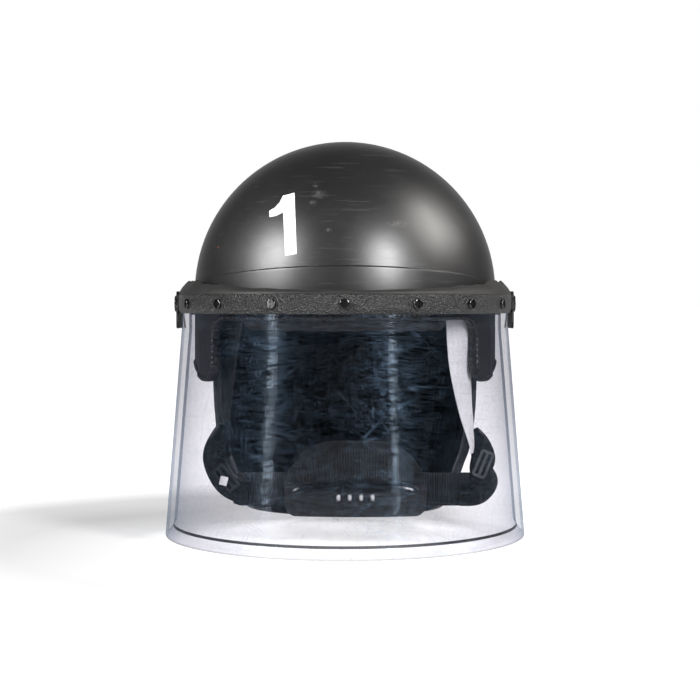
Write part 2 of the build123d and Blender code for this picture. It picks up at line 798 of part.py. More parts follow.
if __name__ == "__main__":
    shell = make_shell()
    save("shell", shell)
    save("shell_edge_trim", make_trim(shell))
    save("impact_liner", make_liner())
    save("crown_pad", crown_pad())
    save("side_pad_left", side_pad(-1))
    save("side_pad_right", side_pad(1))
    save("rear_pad", rear_pad())
    save("brow_pad", brow_pad())
    save("ear_pad_left", ear_pad(-1))
    save("ear_pad_right", ear_pad(1))
    save("neck_protector", make_collar())
    save("neck_protector_piping", make_piping())
    save("collar_carrier", make_carrier())
    save("carrier_rivets", Compound(children=make_carrier_rivets()))
    save("face_shield", make_shield())
    save("visor_band", make_band())
    save("band_screws", Compound(children=make_band_screws()))
    save("band_nuts", Compound(children=make_band_nuts()))
    save("visor_gasket", make_gasket())
    for side, word in ((-1, "left"), (1, "right")):
        save("pivot_bushing_" + word, make_bushing(side))
        save("pivot_spacer_" + word, make_spacer(side))
        save("pivot_screw_" + word, make_pivot_screw(side))
        save("pivot_washer_" + word, make_pivot_washer(side))
        save("pivot_nut_" + word, make_pivot_nut(side))
        save("hinge_plate_" + word, make_plate(side))
        save("leaf_spring_" + word, make_leaf(side))
        save("strap_anchor_" + word, make_anchor(side))
    save("strap_anchor_rivets", Compound(children=make_anchor_rivets()))
    save("strap_right", make_strap(right_leg_shares, right_loop_shares))
    save("strap_left", make_strap(left_leg_shares, left_loop_shares))
    save("chin_webbing", make_webbing())
    save("strap_slider_right", make_slider(right_slider_share, right_slider_turn))
    save("strap_slider_left", make_slider(left_slider_share, left_slider_turn))
    save("strap_tag", make_tag())
    save("chin_cup", make_cup())
    save("chin_cup_lining", make_cup_lining())
    save("chin_cup_pad", make_cup_pad())
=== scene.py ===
import json
from math import acos, asin, atan2, copysign, cos, pi, radians, sin, sqrt, tan, tau

import bmesh
import bpy
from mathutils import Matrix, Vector, noise


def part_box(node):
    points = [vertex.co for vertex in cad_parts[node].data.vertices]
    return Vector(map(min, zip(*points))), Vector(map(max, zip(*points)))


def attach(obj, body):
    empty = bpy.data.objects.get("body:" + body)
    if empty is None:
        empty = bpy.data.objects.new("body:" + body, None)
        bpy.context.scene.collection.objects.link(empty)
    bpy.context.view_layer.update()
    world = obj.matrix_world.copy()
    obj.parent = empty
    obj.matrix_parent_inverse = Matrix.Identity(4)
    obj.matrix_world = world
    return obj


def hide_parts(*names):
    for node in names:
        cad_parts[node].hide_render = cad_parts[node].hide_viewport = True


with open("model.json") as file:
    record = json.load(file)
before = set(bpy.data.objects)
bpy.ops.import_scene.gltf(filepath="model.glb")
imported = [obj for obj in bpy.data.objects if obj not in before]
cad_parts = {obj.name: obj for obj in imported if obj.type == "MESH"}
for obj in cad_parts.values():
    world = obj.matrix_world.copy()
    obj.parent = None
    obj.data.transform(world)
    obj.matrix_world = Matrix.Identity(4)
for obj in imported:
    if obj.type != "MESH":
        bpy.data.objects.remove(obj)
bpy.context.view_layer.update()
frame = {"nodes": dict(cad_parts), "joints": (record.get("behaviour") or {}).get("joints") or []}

# Units and the places that the frame gives
MM = 0.001
pivot_y = next(j for j in frame["joints"] if j["name"] == "visor_tilt")["pos_m"][1]
shell_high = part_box("shell")[1]
liner_low, liner_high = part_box("impact_liner")
shell_y = (liner_low[1] + liner_high[1]) / 2
band_low, band_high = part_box("visor_band")
shield_low, shield_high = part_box("face_shield")
collar_low, collar_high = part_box("neck_protector")
web_low, web_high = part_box("chin_webbing")
cup_low, cup_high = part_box("chin_cup")

# Shell sizes, as in the construction
shell_half_width = 122 * MM
shell_half_length = 142 * MM
shell_half_height = 122 * MM
shell_centre = shell_high[2] - shell_half_height
shell_wall = 3.6 * MM
shell_low_row = 118 * MM
oval = shell_half_length / shell_half_width
brow_edge = 175 * MM
ear_reach = 80 * MM
ear_low = 127 * MM
ear_low_reach = 60 * MM
skirt_height = 138 * MM
skirt_start_reach = 18 * MM
nape_height = 132 * MM

# The raised brow panel: its front, the shoulder of its upper line, where its step fades and where it ends
panel_front = shell_y - shell_half_length - 20 * MM
panel_shoulder = shell_y - 76 * MM
panel_fade = shell_y - 52 * MM
panel_end = shell_y - 44 * MM
panel_front_height = 217 * MM
panel_shoulder_height = 206 * MM
panel_step = 2 * MM

# Visor sizes, as in the construction
shield_top_half_width = 132 * MM
shield_top_reach = 152 * MM
shield_foot_half_width = shield_high[0]
shield_foot_reach = pivot_y - shield_low[1]
shield_rear = shield_high[1] - pivot_y
shield_shoulder = 165 * MM
gasket_tip_half_width = 126.5 * MM
gasket_tip_reach = 144.2 * MM
gasket_slope_end = 60 * MM
gasket_heights = (2.2 * MM, 10 * MM)

# Sizes of the linings, the neck protector, the straps and the cup, as in the construction
foam_wall = 16 * MM
pad_depth = 20.2 * MM
roll_depth = 4.9 * MM
collar_half_width = collar_high[0]
collar_front = collar_low[1]
collar_wall = 8 * MM
collar_heights = (0, 0.09, 0.27, 0.43, 0.54, 0.66, 0.8, 1)
collar_widths = (0.755, 0.766, 0.83, 0.924, 0.963, 0.98, 0.99, 1)
hem_rise = 30 * MM
cup_middle = (cup_low[0] + cup_high[0]) / 2
cup_face = shell_y - 66.7 * MM
cup_radius = (56 * 56 + 81) / 18 * MM
cup_centre_y = cup_face - 13 * MM + cup_radius
cup_arch = ((0, 1), (0.28, 0.998), (0.53, 0.95), (0.732, 0.835), (0.884, 0.66), (0.966, 0.5), (0.985, 0.36))

# Straps in millimetres. Legs: height, x, y, width and turn. Loops: x, height and width
right_leg = ((190, 87.5, -69, 25, 35), (177.7, 87.5, -69, 25, 35), (140.6, 89, -66, 23.7, 41),
             (106.4, 93, -60.5, 20, 52), (79.8, 98.5, -56.5, 18, 72), (70, 99, -55.4, 17, 80))
left_leg = ((190, -87.5, -69, 25, -35), (177.7, -87.5, -69, 25, -35), (138.7, -90, -62, 21.2, -52),
            (95, -92, -57, 18, -70), (74, -90, -56.5, 15.5, -78), (66, -91, -55.6, 15.5, -84))
right_loop = ((100, 88, 8), (105, 78, 15), (108, 66, 19), (106.5, 56.5, 18), (110, 47, 19), (103, 38.5, 19),
              (90, 38, 20))
left_loop = ((-95, 92, 8), (-99, 78, 17), (-101.5, 66, 19), (-98, 54, 19), (-90, 44, 19), (-76, 38, 20))
loop_y = web_low[1] - 1.55 * MM
strap_rows = 12
leg_thick, loop_thick = 1.8 * MM, 2.2 * MM
loop_waves = 1.2

# The camera, which the figure's outline is read with too
eye = Vector((0.004, pivot_y - 1.465, 0.189))
eye_turn_down = 1.59


def clamp(value, low=0.0, high=1.0):
    return min(max(value, low), high)


def smooth(low, high, value):
    t = clamp((value - low) / (high - low))
    return t * t * (3 - 2 * t)


def falling(low, high, value):
    return 1 - smooth(low, high, value)


def lerp(a, b, t):
    return a + (b - a) * t


def upright(z):
    return Vector((0, 0, z))


def soft_circle(count, power):
    """Turns round a closed outline, with the cosine and sine of each squared off by the power."""
    for k in range(count):
        turn = tau * k / count
        c, s = cos(turn), sin(turn)
        yield turn, copysign(abs(c) ** power, c), copysign(abs(s) ** power, s)


def soft_square(count, power):
    """Points of a closed outline between a circle, at power 2, and a square."""
    points = []
    for k in range(count):
        c, s = cos(tau * k / count), sin(tau * k / count)
        reach = (abs(c) ** power + abs(s) ** power) ** (-1 / power)
        points.append((c * reach, s * reach))
    return points


def spline(values, t):
    """A smooth value between evenly spaced ones, t from 0 to 1."""
    count = len(values) - 1
    place = clamp(t) * count
    i = min(int(place), count - 1)
    f = place - i
    p0, p1, p2, p3 = values[max(i - 1, 0)], values[i], values[i + 1], values[min(i + 2, count)]
    return 0.5 * (2 * p1 + (p2 - p0) * f + (2 * p0 - 5 * p1 + 4 * p2 - p3) * f * f
                  + (3 * p1 - p0 - 3 * p2 + p3) * f ** 3)


def shade(piece, angle):
    for face in piece.data.polygons:
        face.use_smooth = True
    piece.data.set_sharp_from_angle(angle=radians(angle))


def new_object(name, verts, faces, merge=0.01 * MM):
    mesh = bpy.data.meshes.new(name)
    mesh.from_pydata([tuple(v) for v in verts], [], faces)
    bm = bmesh.new()
    bm.from_mesh(mesh)
    if merge:
        bmesh.ops.remove_doubles(bm, verts=bm.verts, dist=merge)
    bmesh.ops.recalc_face_normals(bm, faces=bm.faces)
    bm.to_mesh(mesh)
    bm.free()
    piece = bpy.data.objects.new(name, mesh)
    bpy.context.scene.collection.objects.link(piece)
    return piece


def add(name, shape, body, replaced, look, angle=60):
    """Makes a piece, lets it ride its body, and hides the CAD parts that it replaces."""
    piece = new_object(name, *shape)
    shade(piece, angle)
    piece.data.materials.append(look)
    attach(piece, body)
    if replaced:
        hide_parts(*replaced)
    return piece


def ring_sweep(rings, closed=False, caps=True):
    """Points and faces of a tube through closed rings with equally many points."""
    count = len(rings[0])
    verts = [p for ring in rings for p in ring]
    faces = []
    for i in range(len(rings) if closed else len(rings) - 1):
        here, there = i * count, (i + 1) % len(rings) * count
        for k in range(count):
            n = (k + 1) % count
            faces.append((here + k, here + n, there + n, there + k))
    if caps and not closed:
        faces.append(tuple(range(count - 1, -1, -1)))
        faces.append(tuple(range(len(verts) - count, len(verts))))
    return verts, faces


def grid_faces(columns, rows, start=0, wrap=False):
    faces = []
    for i in range(columns if wrap else columns - 1):
        here, there = start + i * rows, start + (i + 1) % columns * rows
        for k in range(rows - 1):
            faces.append((here + k, here + k + 1, there + k + 1, there + k))
    return faces


def sheet_mesh(pairs, columns, rows):
    """Closes a grid of front and back points into one solid sheet."""
    n = len(pairs)
    faces = grid_faces(columns, rows) + [tuple(reversed(f)) for f in grid_faces(columns, rows, n)]
    border = list(range(rows)) + [i * rows + rows - 1 for i in range(1, columns)]
    border += [(columns - 1) * rows + k for k in range(rows - 2, -1, -1)]
    border += [i * rows for i in range(columns - 2, 0, -1)]
    for a, b in zip(border, border[1:] + border[:1]):
        faces.append((a, b, n + b, n + a))
    return [front for front, back in pairs] + [back for front, back in pairs], faces


def even_steps(line, step, closed=False):
    """Places along a line in steps of equal length."""
    if closed:
        line = line + line[:1]
    lengths = [0.0]
    for a, b in zip(line, line[1:]):
        lengths.append(lengths[-1] + (b - a).length)
    count = max(2, round(lengths[-1] / step))
    places, i = [], 0
    for k in range(count if closed else count + 1):
        want = lengths[-1] * k / count
        while i < len(line) - 2 and lengths[i + 1] < want:
            i += 1
        t = (want - lengths[i]) / max(lengths[i + 1] - lengths[i], 1e-9)
        places.append(line[i].lerp(line[i + 1], t))
    return places


def side_line(far, step):
    """The shell's lower edge in side view, as (y, z) from the front to the back, with rounded corners."""
    points = [Vector(p) for p in (
        (-far, brow_edge),
        (shell_y - ear_reach, brow_edge),
        (shell_y - ear_reach, ear_low),
        (shell_y - ear_low_reach, ear_low),
        (shell_y - skirt_start_reach, skirt_height),
        (far, nape_height),
    )]
    line = [points[0]]
    for i, radius in enumerate((14 * MM, 12 * MM, 12 * MM, 20 * MM), 1):
        before, corner, after = points[i - 1:i + 2]
        u, v = (before - corner).normalized(), (after - corner).normalized()
        half = acos(clamp(u.dot(v), -1)) / 2
        reach = radius / tan(half)
        centre = corner + (u + v).normalized() * radius / sin(half)
        start, end = corner + u * reach - centre, corner + v * reach - centre
        turn = atan2(start.x * end.y - start.y * end.x, start.dot(end))
        for k in range(9):
            c, s = cos(turn * k / 8), sin(turn * k / 8)
            line.append(centre + Vector((start.x * c - start.y * s, start.x * s + start.y * c)))
    return even_steps(line + [points[-1]], step)


def brow_line(y):
    """Height of the brow panel's upper line at y, down to the brow edge."""
    if y < panel_shoulder:
        t = (y - panel_front) / (panel_shoulder - panel_front)
        return lerp(panel_front_height, panel_shoulder_height, t)
    t = (y - panel_shoulder) / (panel_end - panel_shoulder)
    return lerp(panel_shoulder_height, brow_edge, min(t, 1.0))


def brow_step(y, z):
    """How far the brow panel stands out of the dome."""
    if y >= panel_end:
        return 0.0
    line = brow_line(y)
    lip = falling(line - 0.5 * MM, line + 0.5 * MM, z)
    flare = 0.25 * falling(brow_edge, line, z)
    return panel_step * lip * (0.75 + flare) * falling(panel_fade, panel_end, y)


def shell_size(inset):
    return shell_half_width - inset, shell_half_length - inset, shell_half_height - inset


def shell_point(angle, z, inset=0.0):
    """A place on the shell at an angle from the front and a height."""
    a, b, c = shell_size(inset)
    rise = max(z - shell_centre, 0.0) / c
    r = sqrt(max(0.0, 1 - rise * rise))
    return Vector((a * r * sin(angle), shell_y - b * r * cos(angle), z))


def outer_rows(angle):
    """Heights down the outside of the shell, close together where the brow panel steps out."""
    line = brow_line(shell_point(angle, brow_edge).y)
    top = asin(clamp((line + 4 * MM - shell_centre) / shell_half_height))
    rows = [shell_centre + shell_half_height * sin(lerp(radians(89), top, k / 30)) for k in range(1, 30)]
    rows += [line + d * MM for d in (4, 2, 1.2, 0.8, 0.5, 0.3, 0.1, -0.1, -0.3, -0.5, -0.8, -1.5, -3)]
    return rows + [lerp(line - 3 * MM, shell_low_row, k / 14) for k in range(1, 15)]


def make_shell():
    """The dome's outer and inner skins, joined along the foot that is cut away afterwards."""
    columns = 180
    angles = [tau * i / columns for i in range(columns)]
    inner_height = shell_half_height - shell_wall
    inner_rows = [shell_centre + inner_height * sin(radians(89 - 89 * k / 24)) for k in range(25)]
    inner_rows += [lerp(shell_centre, shell_low_row, k / 8) for k in range(1, 9)]
    verts, faces, feet = [], [], []
    for inset in (0.0, shell_wall):
        start = len(verts)
        for angle in angles:
            rows = inner_rows if inset else outer_rows(angle)
            for z in rows:
                out = 0.0 if inset else brow_step(shell_point(angle, z).y, z)
                verts.append(shell_point(angle, z, inset - out))
        count = len(rows)
        faces += grid_faces(columns, count, start, True)
        apex = len(verts)
        verts.append(Vector((0, shell_y, shell_centre + shell_half_height - inset)))
        faces += [(apex, start + i * count, start + (i + 1) % columns * count) for i in range(columns)]
        feet.append([start + (i + 1) * count - 1 for i in range(columns)])
    outer, inner = feet
    for i in range(columns):
        n = (i + 1) % columns
        faces.append((outer[i], outer[n], inner[n], inner[i]))
    return verts, faces


def cut_by_side(piece, line, low=-20 * MM, reach=200 * MM):
    """Cuts away what is under a side line."""
    outline = line + [Vector((line[-1].x, low)), Vector((line[0].x, low))]
    rings = [[Vector((x, p.x, p.y)) for p in outline] for x in (-reach, reach)]
    cutter = new_object("cutter", *ring_sweep(rings), merge=0)
    cut = piece.modifiers.new("cut", "BOOLEAN")
    cut.operation, cut.solver, cut.object = "DIFFERENCE", "EXACT", cutter
    bpy.context.view_layer.update()
    done = bpy.data.meshes.new_from_object(piece.evaluated_get(bpy.context.evaluated_depsgraph_get()))
    piece.modifiers.clear()
    old = piece.data
    piece.data = done
    bpy.data.meshes.remove(old)
    bpy.data.objects.remove(cutter)
    shade(piece, 40)


def make_trim():
    """The bead round the shell's lower edge, lightly twisted like a rope."""
    step, twist_pitch, half_height = 0.7, 4.2, 2.5 * MM
    a, b = shell_half_width - shell_wall / 2, shell_half_length - shell_wall / 2
    side = [(a * sqrt(1 - ((p.x - shell_y) / b) ** 2), p.x, p.y)
            for p in side_line(160 * MM, 0.6 * MM) if abs(p.x - shell_y) < b]
    loop = [Vector((0, shell_y - b, brow_edge))] + [Vector(p) for p in side]
    loop.append(Vector((0, shell_y + b, nape_height + 0.02 * MM)))
    loop += [Vector((-x, y, z)) for x, y, z in reversed(side)]
    path = even_steps(loop, step * MM, True)
    count = len(path)
    twists = round(count * step / twist_pitch)
    rings = []
    for i, place in enumerate(path):
        tangent = (path[(i + 3) % count] - path[(i - 3) % count]).normalized()
        normal = Vector((place.x / shell_half_width ** 2, (place.y - shell_y) / shell_half_length ** 2, 0))
        normal.normalize()
        normal = (normal - tangent * normal.dot(tangent)).normalized()
        up = tangent.cross(normal)
        if up.z < 0 or (abs(up.z) < 0.3 and up.y < 0):
            up = -up
        panel = falling(panel_fade, panel_end, place.y) * MM
        half = shell_wall / 2 + 1 * MM + panel
        ring = []
        for turn, c, s in soft_circle(20, 0.75):
            rope = 1 + 0.07 * sin(turn + tau * twists * i / count)
            ring.append(place + normal * (panel + c * half * rope) + up * (s * half_height * rope + 1 * MM))
        rings.append(ring)
    return ring_sweep(rings, closed=True)


def u_path(half_width, reach, count):
    """Points and outward normals of the visor's plan line, from the left end round the front."""
    rear_count = 4
    rear = [pivot_y + shield_rear * (1 - k / rear_count) for k in range(rear_count)]
    path = [(Vector((-half_width, y, 0)), Vector((-1, 0, 0))) for y in rear]
    for k in range(count + 1):
        c, s = cos(pi * k / count), sin(pi * k / count)
        normal = Vector((-c / half_width, -s / reach, 0)).normalized()
        path.append((Vector((-half_width * c, pivot_y - reach * s, 0)), normal))
    return path + [(Vector((half_width, y, 0)), Vector((1, 0, 0))) for y in reversed(rear)]


def make_band():
    """The brow band: a flat outer face, a soft top edge and a bevelled lower edge."""
    outline = ((0, 0), (0.05, 15), (2.0, 15), (2.35, 14.85), (2.5, 14.5), (2.5, 12), (2.5, 9), (2.5, 6),
               (2.5, 3.4), (2.3, 2.7), (1.1, 0.2), (0.8, 0))
    return ring_sweep([[place + normal * out * MM + upright(band_low[2] + up * MM) for out, up in outline]
                       for place, normal in u_path(shield_top_half_width, shield_top_reach, 150)])


def make_gasket():
    """The soft lip between the band and the shell, a little wavy along its top."""
    reach, count, low_height, full_height = pivot_y - band_low[1], 170, *gasket_heights
    roots = u_path(band_high[0], reach, count)
    tips = u_path(gasket_tip_half_width, gasket_tip_reach, count)
    front = pivot_y - reach
    low = upright(band_high[2])
    rings = []
    for i, ((root, normal), (tip, _)) in enumerate(zip(roots, tips)):
        back = clamp((root.y - front) / (pivot_y - gasket_slope_end - front))
        along = i * 0.16
        wave = sin(along * 1.9) + 0.7 * sin(along * 4.3 + 1.2) + 0.5 * noise.noise(Vector((along, 3.1, 0)))
        wave *= (0.25 + 0.75 * smooth(0.15, 0.7, back)) * MM
        drop = 1 - 0.55 * smooth(shield_rear - 12 * MM, shield_rear, root.y - pivot_y)
        height = lerp(low_height, full_height, back) * drop + wave * 0.75
        lean = min(height / full_height, 1.0)
        outer = [root + low]
        for k in range(1, 5):
            t = k / 4
            bulge = normal * (sin(pi * t) * 1.1 * MM + wave * 0.35 * t)
            outer.append(root.lerp(tip, lean * t) + low + upright(height * t) + bulge)
        inner = [p - normal * lerp(2.6 * MM, 1.5 * MM, k / 4) for k, p in enumerate(outer)]
        rings.append(outer + [outer[-1] - normal * 0.7 * MM + upright(0.5 * MM)] + inner[::-1])
    return ring_sweep(rings)


def make_shield():
    """The clear wall: outer face, bevelled foot and inner face as one closed sheet."""
    wall, shoulder, top, foot = 6.0, shield_shoulder / MM, 193.5, 9.9
    outline = [(0.0, 0.35), (0.6, 0.0), (1.5, 0.0)] + [(3 + k * (shoulder - 3) / 22, 0.0) for k in range(23)]
    outline += [(z, 0.0) for z in (170, 175, 180, 185, 190, top)]
    outline += [(z, wall) for z in (top, 190, 185, 180, 175, 170)]
    outline += [(shoulder - k * (shoulder - foot) / 20, wall) for k in range(21)]
    outline += [(7.8, 5.5), (6.5, 4.8), (5, 3.9), (2.5, 2.6), (0.9, 1.85), (0.25, 1.5), (0.0, 1.2)]
    levels = []
    for z, inset in outline:
        t = clamp((shield_shoulder - z * MM) / shield_shoulder)
        width = lerp(shield_top_half_width, shield_foot_half_width, t) - inset * MM
        reach = lerp(shield_top_reach, shield_foot_reach, t) - inset * MM
        levels.append([place + upright(z * MM) for place, _ in u_path(width, reach, 150)])
    return ring_sweep([list(column) for column in zip(*levels)])


def collar_width_at(z):
    share, last = z / collar_high[2], len(collar_heights) - 2
    i = 0
    while i < last and share > collar_heights[i + 1]:
        i += 1
    t = clamp((share - collar_heights[i]) / (collar_heights[i + 1] - collar_heights[i]))
    p0, p1, p2, p3 = (collar_widths[clamp(k, 0, last + 1)] for k in range(i - 1, i + 3))
    bend = 0.15 * (p2 - p0) * t * (1 - t) ** 2 - 0.15 * (p3 - p1) * t * t * (1 - t)
    return collar_half_width * (lerp(p1, p2, t) + bend)


def collar_point(u, z):
    """A place and outward normal on the neck protector, u from 0 at its left front edge to 1 at its right."""
    half = collar_width_at(z)
    reach = half * oval
    straight = shell_y - collar_front
    arc = pi * (half + reach) / 2
    s = (2 * straight + arc) * u
    if s < straight:
        return Vector((-half, collar_front + s, z)), Vector((-1, 0, 0))
    if s > straight + arc:
        return Vector((half, collar_front + 2 * straight + arc - s, z)), Vector((1, 0, 0))
    a = pi * (s - straight) / arc
    place = Vector((-half * cos(a), shell_y + reach * sin(a), z))
    return place, Vector((-cos(a) / half, sin(a) / reach, 0)).normalized()


def hem_height(y):
    """The neck protector's lower edge: flat at the back and rising to the front."""
    flat = shell_y + 0.7 * shell_half_length
    return hem_rise * clamp((flat - y) / (flat - collar_front))


def make_collar():
    """A padded neck guard: two faces that pull in at the hem, at the front edges and along sewn channels."""
    columns, rows, height = 200, 60, collar_high[2]
    channels = (0.14, 0.26, 0.38, 0.5, 0.62, 0.74, 0.86)
    channel_width, rim, yoke, hem = 0.014, 7 * MM, 24 * MM, 14 * MM
    pairs = []
    for i in range(columns):
        turn = pi * i / (columns - 1)
        u = 0.5 - 0.5 * cos(turn) * (1 - 0.35 * sin(turn))
        low = hem_height(collar_point(u, 0)[0].y) + 0.3 * MM
        for k in range(rows):
            z = lerp(low, height - 0.6 * MM, 0.5 - 0.5 * cos(pi * k / (rows - 1)))
            place, normal = collar_point(u, z)
            rise, drop = z - low, height - z
            edge = (min(1.0, min(u, 1 - u) / 0.02) * min(1.0, rise / rim) * min(1.0, drop / rim)) ** 0.5
            seam = 1.0
            if drop > yoke and rise > hem:
                ends = min(1.0, min(drop - yoke, rise - hem) / (8 * MM))
                for channel in channels:
                    away = min(abs(u - channel) / channel_width, 1.0)
                    seam = min(seam, 1 - 0.5 * ends * (1 - away ** 0.6))
            seam = min(seam, 0.6 + 0.4 * min(abs(rise - 10 * MM) / (4 * MM), 1.0) ** 0.6)
            soft = noise.noise(place * 28) * 0.9 + noise.noise(place * 10 + upright(4)) * 1.3
            soft *= smooth(0.0, 0.04, drop) * smooth(0.0, 0.02, rise)
            middle = place - normal * (collar_wall / 2 + (0.5 - soft * 0.6) * MM)
            half = normal * collar_wall * (0.3 + 0.7 * edge * seam) / 2
            pairs.append((middle + half, middle - half))
    return sheet_mesh(pairs, columns, rows)


def make_piping(side):
    """The bound edge of the neck protector, a soft strip folded round its front."""
    rings, count, y = [], 60, collar_front - 0.2 * MM
    for k in range(count):
        z = lerp(hem_rise + 1 * MM, collar_high[2] - 0.6 * MM, k / (count - 1))
        middle = collar_width_at(z) - collar_wall / 2 - 0.3 * MM
        pucker = 0.25 * sin(k * 1.7) + 0.2 * sin(k * 2.9 + 1)
        half_width, half_depth = (4.1 + 0.2 * pucker) * MM, (2.7 + 0.25 * pucker) * MM
        rings.append([Vector((side * (middle + c * half_width), y + sin(a) * half_depth, z))
                      for a, c, _ in soft_circle(16, 0.8)])
    return ring_sweep(rings)


def dome_place(axis, sign, u, v, depth):
    """A place on a dome inside the shell at that depth, solved along one axis from the other two."""
    sizes = shell_size(depth)
    first, second = (k for k in range(3) if k != axis)
    place = Vector((0, shell_y, shell_centre))
    place[axis] += sign * sizes[axis] * sqrt(max(0.0, 1 - (u / sizes[first]) ** 2 - (v / sizes[second]) ** 2))
    place[first] += u
    place[second] += v
    return place


def make_pad(axis, sign, half_u, half_v, middle_v, power):
    """A crowned pad that lies on the foam: a flat back, a full face and a sewn rim."""
    rings, around = 16, 72
    full, rim, foot = 10 * MM, pad_depth + 2.5 * MM, pad_depth + 0.1 * MM
    layers = [(r / rings, pad_depth + full * (1 - (r / rings) ** 5) ** 0.55) for r in range(1, rings)]
    share, depth = layers[-3]
    layers[-3] = (share, lerp(pad_depth, depth, 0.8))
    layers = [(share, max(depth, rim)) for share, depth in layers]
    layers += [(1.0, rim), (1.0, pad_depth + 0.4 * MM)] + [(share, foot) for share in (0.9, 0.6, 0.3, 0.1)]
    outline = [(half_u * u, half_v * v) for u, v in soft_square(around, power)]
    skin = [[dome_place(axis, sign, u * share, middle_v + v * share, depth) for u, v in outline]
            for share, depth in layers]
    verts, faces = ring_sweep(skin, caps=False)
    for r in (0, len(layers) - 1):
        verts.append(dome_place(axis, sign, 0, middle_v, layers[r][1]))
        faces += [(len(verts) - 1, r * around + k, r * around + (k + 1) % around) for k in range(around)]
    return verts, faces


def make_foam():
    """The crushable liner: a thick foam dome with rounded lower edges and shallow grooves."""
    columns, rings = 144, []
    outer, inner = shell_wall + 0.4 * MM, shell_wall + 0.4 * MM + foam_wall
    base = shell_centre - 0.9 * MM
    profile = [(outer, radians(89.5 - 88.5 * k / 25), None) for k in range(26)]
    profile += [(outer, 0, base + 0.6 * MM), (outer + 2 * MM, 0, base), (inner - 3 * MM, 0, base),
                (inner - 0.8 * MM, 0, base + 1.0 * MM)]
    profile += [(inner, radians(1.2 + 88.3 * k / 25), None) for k in range(26)]
    for depth, rise, z in profile:
        a, b, c = shell_size(depth)
        ring = []
        for i in range(columns):
            angle = tau * i / columns
            groove = 0.8 * MM * max(0.0, 1 - abs(sin(angle * 3)) / 0.08) if depth == inner else 0.0
            x, y = (a + groove) * cos(rise) * sin(angle), (b + groove) * cos(rise) * cos(angle)
            ring.append(Vector((x, shell_y - y, shell_centre + c * sin(rise) if z is None else z)))
        rings.append(ring)
    return ring_sweep(rings)


def arc_roll(middle, spread, low, high, thick, count, puckers):
    """A soft roll along the inside of the shell, to both sides of an angle from the front."""
    rings = []
    a, b, _ = shell_size(roll_depth + thick / 2)
    for i in range(count):
        t = i / (count - 1)
        angle = lerp(middle - spread, middle + spread, t)
        place = Vector((a * sin(angle), shell_y - b * cos(angle), (low + high) / 2))
        normal = Vector((sin(angle) / a, -cos(angle) / b, 0)).normalized()
        ends = min(1.0, min(t, 1 - t) / 0.05)
        full = (0.55 + 0.45 * sqrt(max(0.0, 1 - (1 - ends) ** 2))) * (1 + 0.03 * sin(t * puckers)) * 0.98
        rings.append([place + normal * c * thick / 2 * full + upright(s * (high - low) / 2 * full)
                      for _, c, s in soft_circle(24, 0.55)])
    return ring_sweep(rings)


def across(count):
    """Evenly spaced shares from -1 to 1."""
    return [2 * k / (count - 1) - 1 for k in range(count)]


def make_leg(rows):
    """A strap leg: a flat band that hangs from its anchor and turns as it goes down."""
    count = 90
    pairs = []
    for i in range(count):
        t = i / (count - 1)
        z, x, y, width, turn = (spline(values, t) for values in zip(*rows))
        c, s = cos(radians(turn)), sin(radians(turn))
        aside, normal = Vector((c, s, 0)), Vector((s, -c, 0))
        for share in across(strap_rows):
            place = Vector((x, y, z)) * MM + aside * (share * width / 2 * MM)
            place += normal * (0.5 * MM * (1 - share * share) + 0.25 * MM * sin(t * 17 + share * 2))
            half = normal * leg_thick / 2 * (1 - abs(share) ** 6 * 0.7)
            pairs.append((place + half, place - half))
    return sheet_mesh(pairs, count, strap_rows)


def make_loop(rows):
    """A strap loop: a soft band that folds its way from the leg down to the webbing."""
    count = 110
    middles = [[spline(values, i / (count - 1)) for values in zip(*rows)] for i in range(count)]
    pairs = []
    for i, (x, z, width) in enumerate(middles):
        t = i / (count - 1)
        x0, z0, _ = middles[max(i - 1, 0)]
        x1, z1, _ = middles[min(i + 1, count - 1)]
        along = Vector((x1 - x0, 0, z1 - z0)).normalized()
        aside = Vector((-along.z, 0, along.x))
        depth = loop_waves * sin(t * 9.5) * sin(pi * min(t * 1.05, 1.0)) * MM
        for share in across(strap_rows):
            lift = (0.9 * (1 - share * share) + 0.8 * share * sin(t * 12.0 + 1.3)) * MM
            place = Vector((x * MM, loop_y - depth - lift * 0.6, z * MM)) + aside * (share * width / 2 * MM)
            half = Vector((0, loop_thick / 2 * (1 - abs(share) ** 6 * 0.75), 0))
            pairs.append((place - half, place + half))
    return sheet_mesh(pairs, count, strap_rows)


def ribs(value, pitch):
    """A ribbed profile from -1 to 1, fuller on top than in its grooves."""
    return 2 * abs(sin(pi * value / pitch)) ** 0.7 - 1


def make_webbing():
    """The chin webbing: cross ribs between two plain selvages, a little wavy along its way."""
    columns, rows = 700, 13
    centre, size = (Vector(web_low) + Vector(web_high)) / 2, (Vector(web_high) - Vector(web_low)) / 2
    thick = size.y - 0.4 * MM
    pairs = []
    for i in range(columns):
        x = lerp(web_low[0] + 0.5 * MM, web_high[0] - 0.5 * MM, i / (columns - 1))
        end = min(1.0, min(x - web_low[0], web_high[0] - x) / (6 * MM))
        y = centre.y + 0.25 * MM * (1 + sin(x * 70))
        for s in across(rows):
            z = centre.z + s * (size.z - (1 - end) * 2 * MM)
            rib = 0.0 if abs(s) > 0.86 else ribs(x, 1.9 * MM) * 0.35 * MM
            full = thick * (1 - 0.5 * abs(s) ** 8)
            pairs.append((Vector((x, y - full - rib, z)), Vector((x, y + full + rib * 0.7, z))))
    return sheet_mesh(pairs, columns, rows)


def on_cup(x, depth, z):
    """A place behind the cup's front face, by its bent plate."""
    return Vector((x, cup_centre_y - sqrt((cup_radius - depth) ** 2 - (x - cup_middle) ** 2), z))


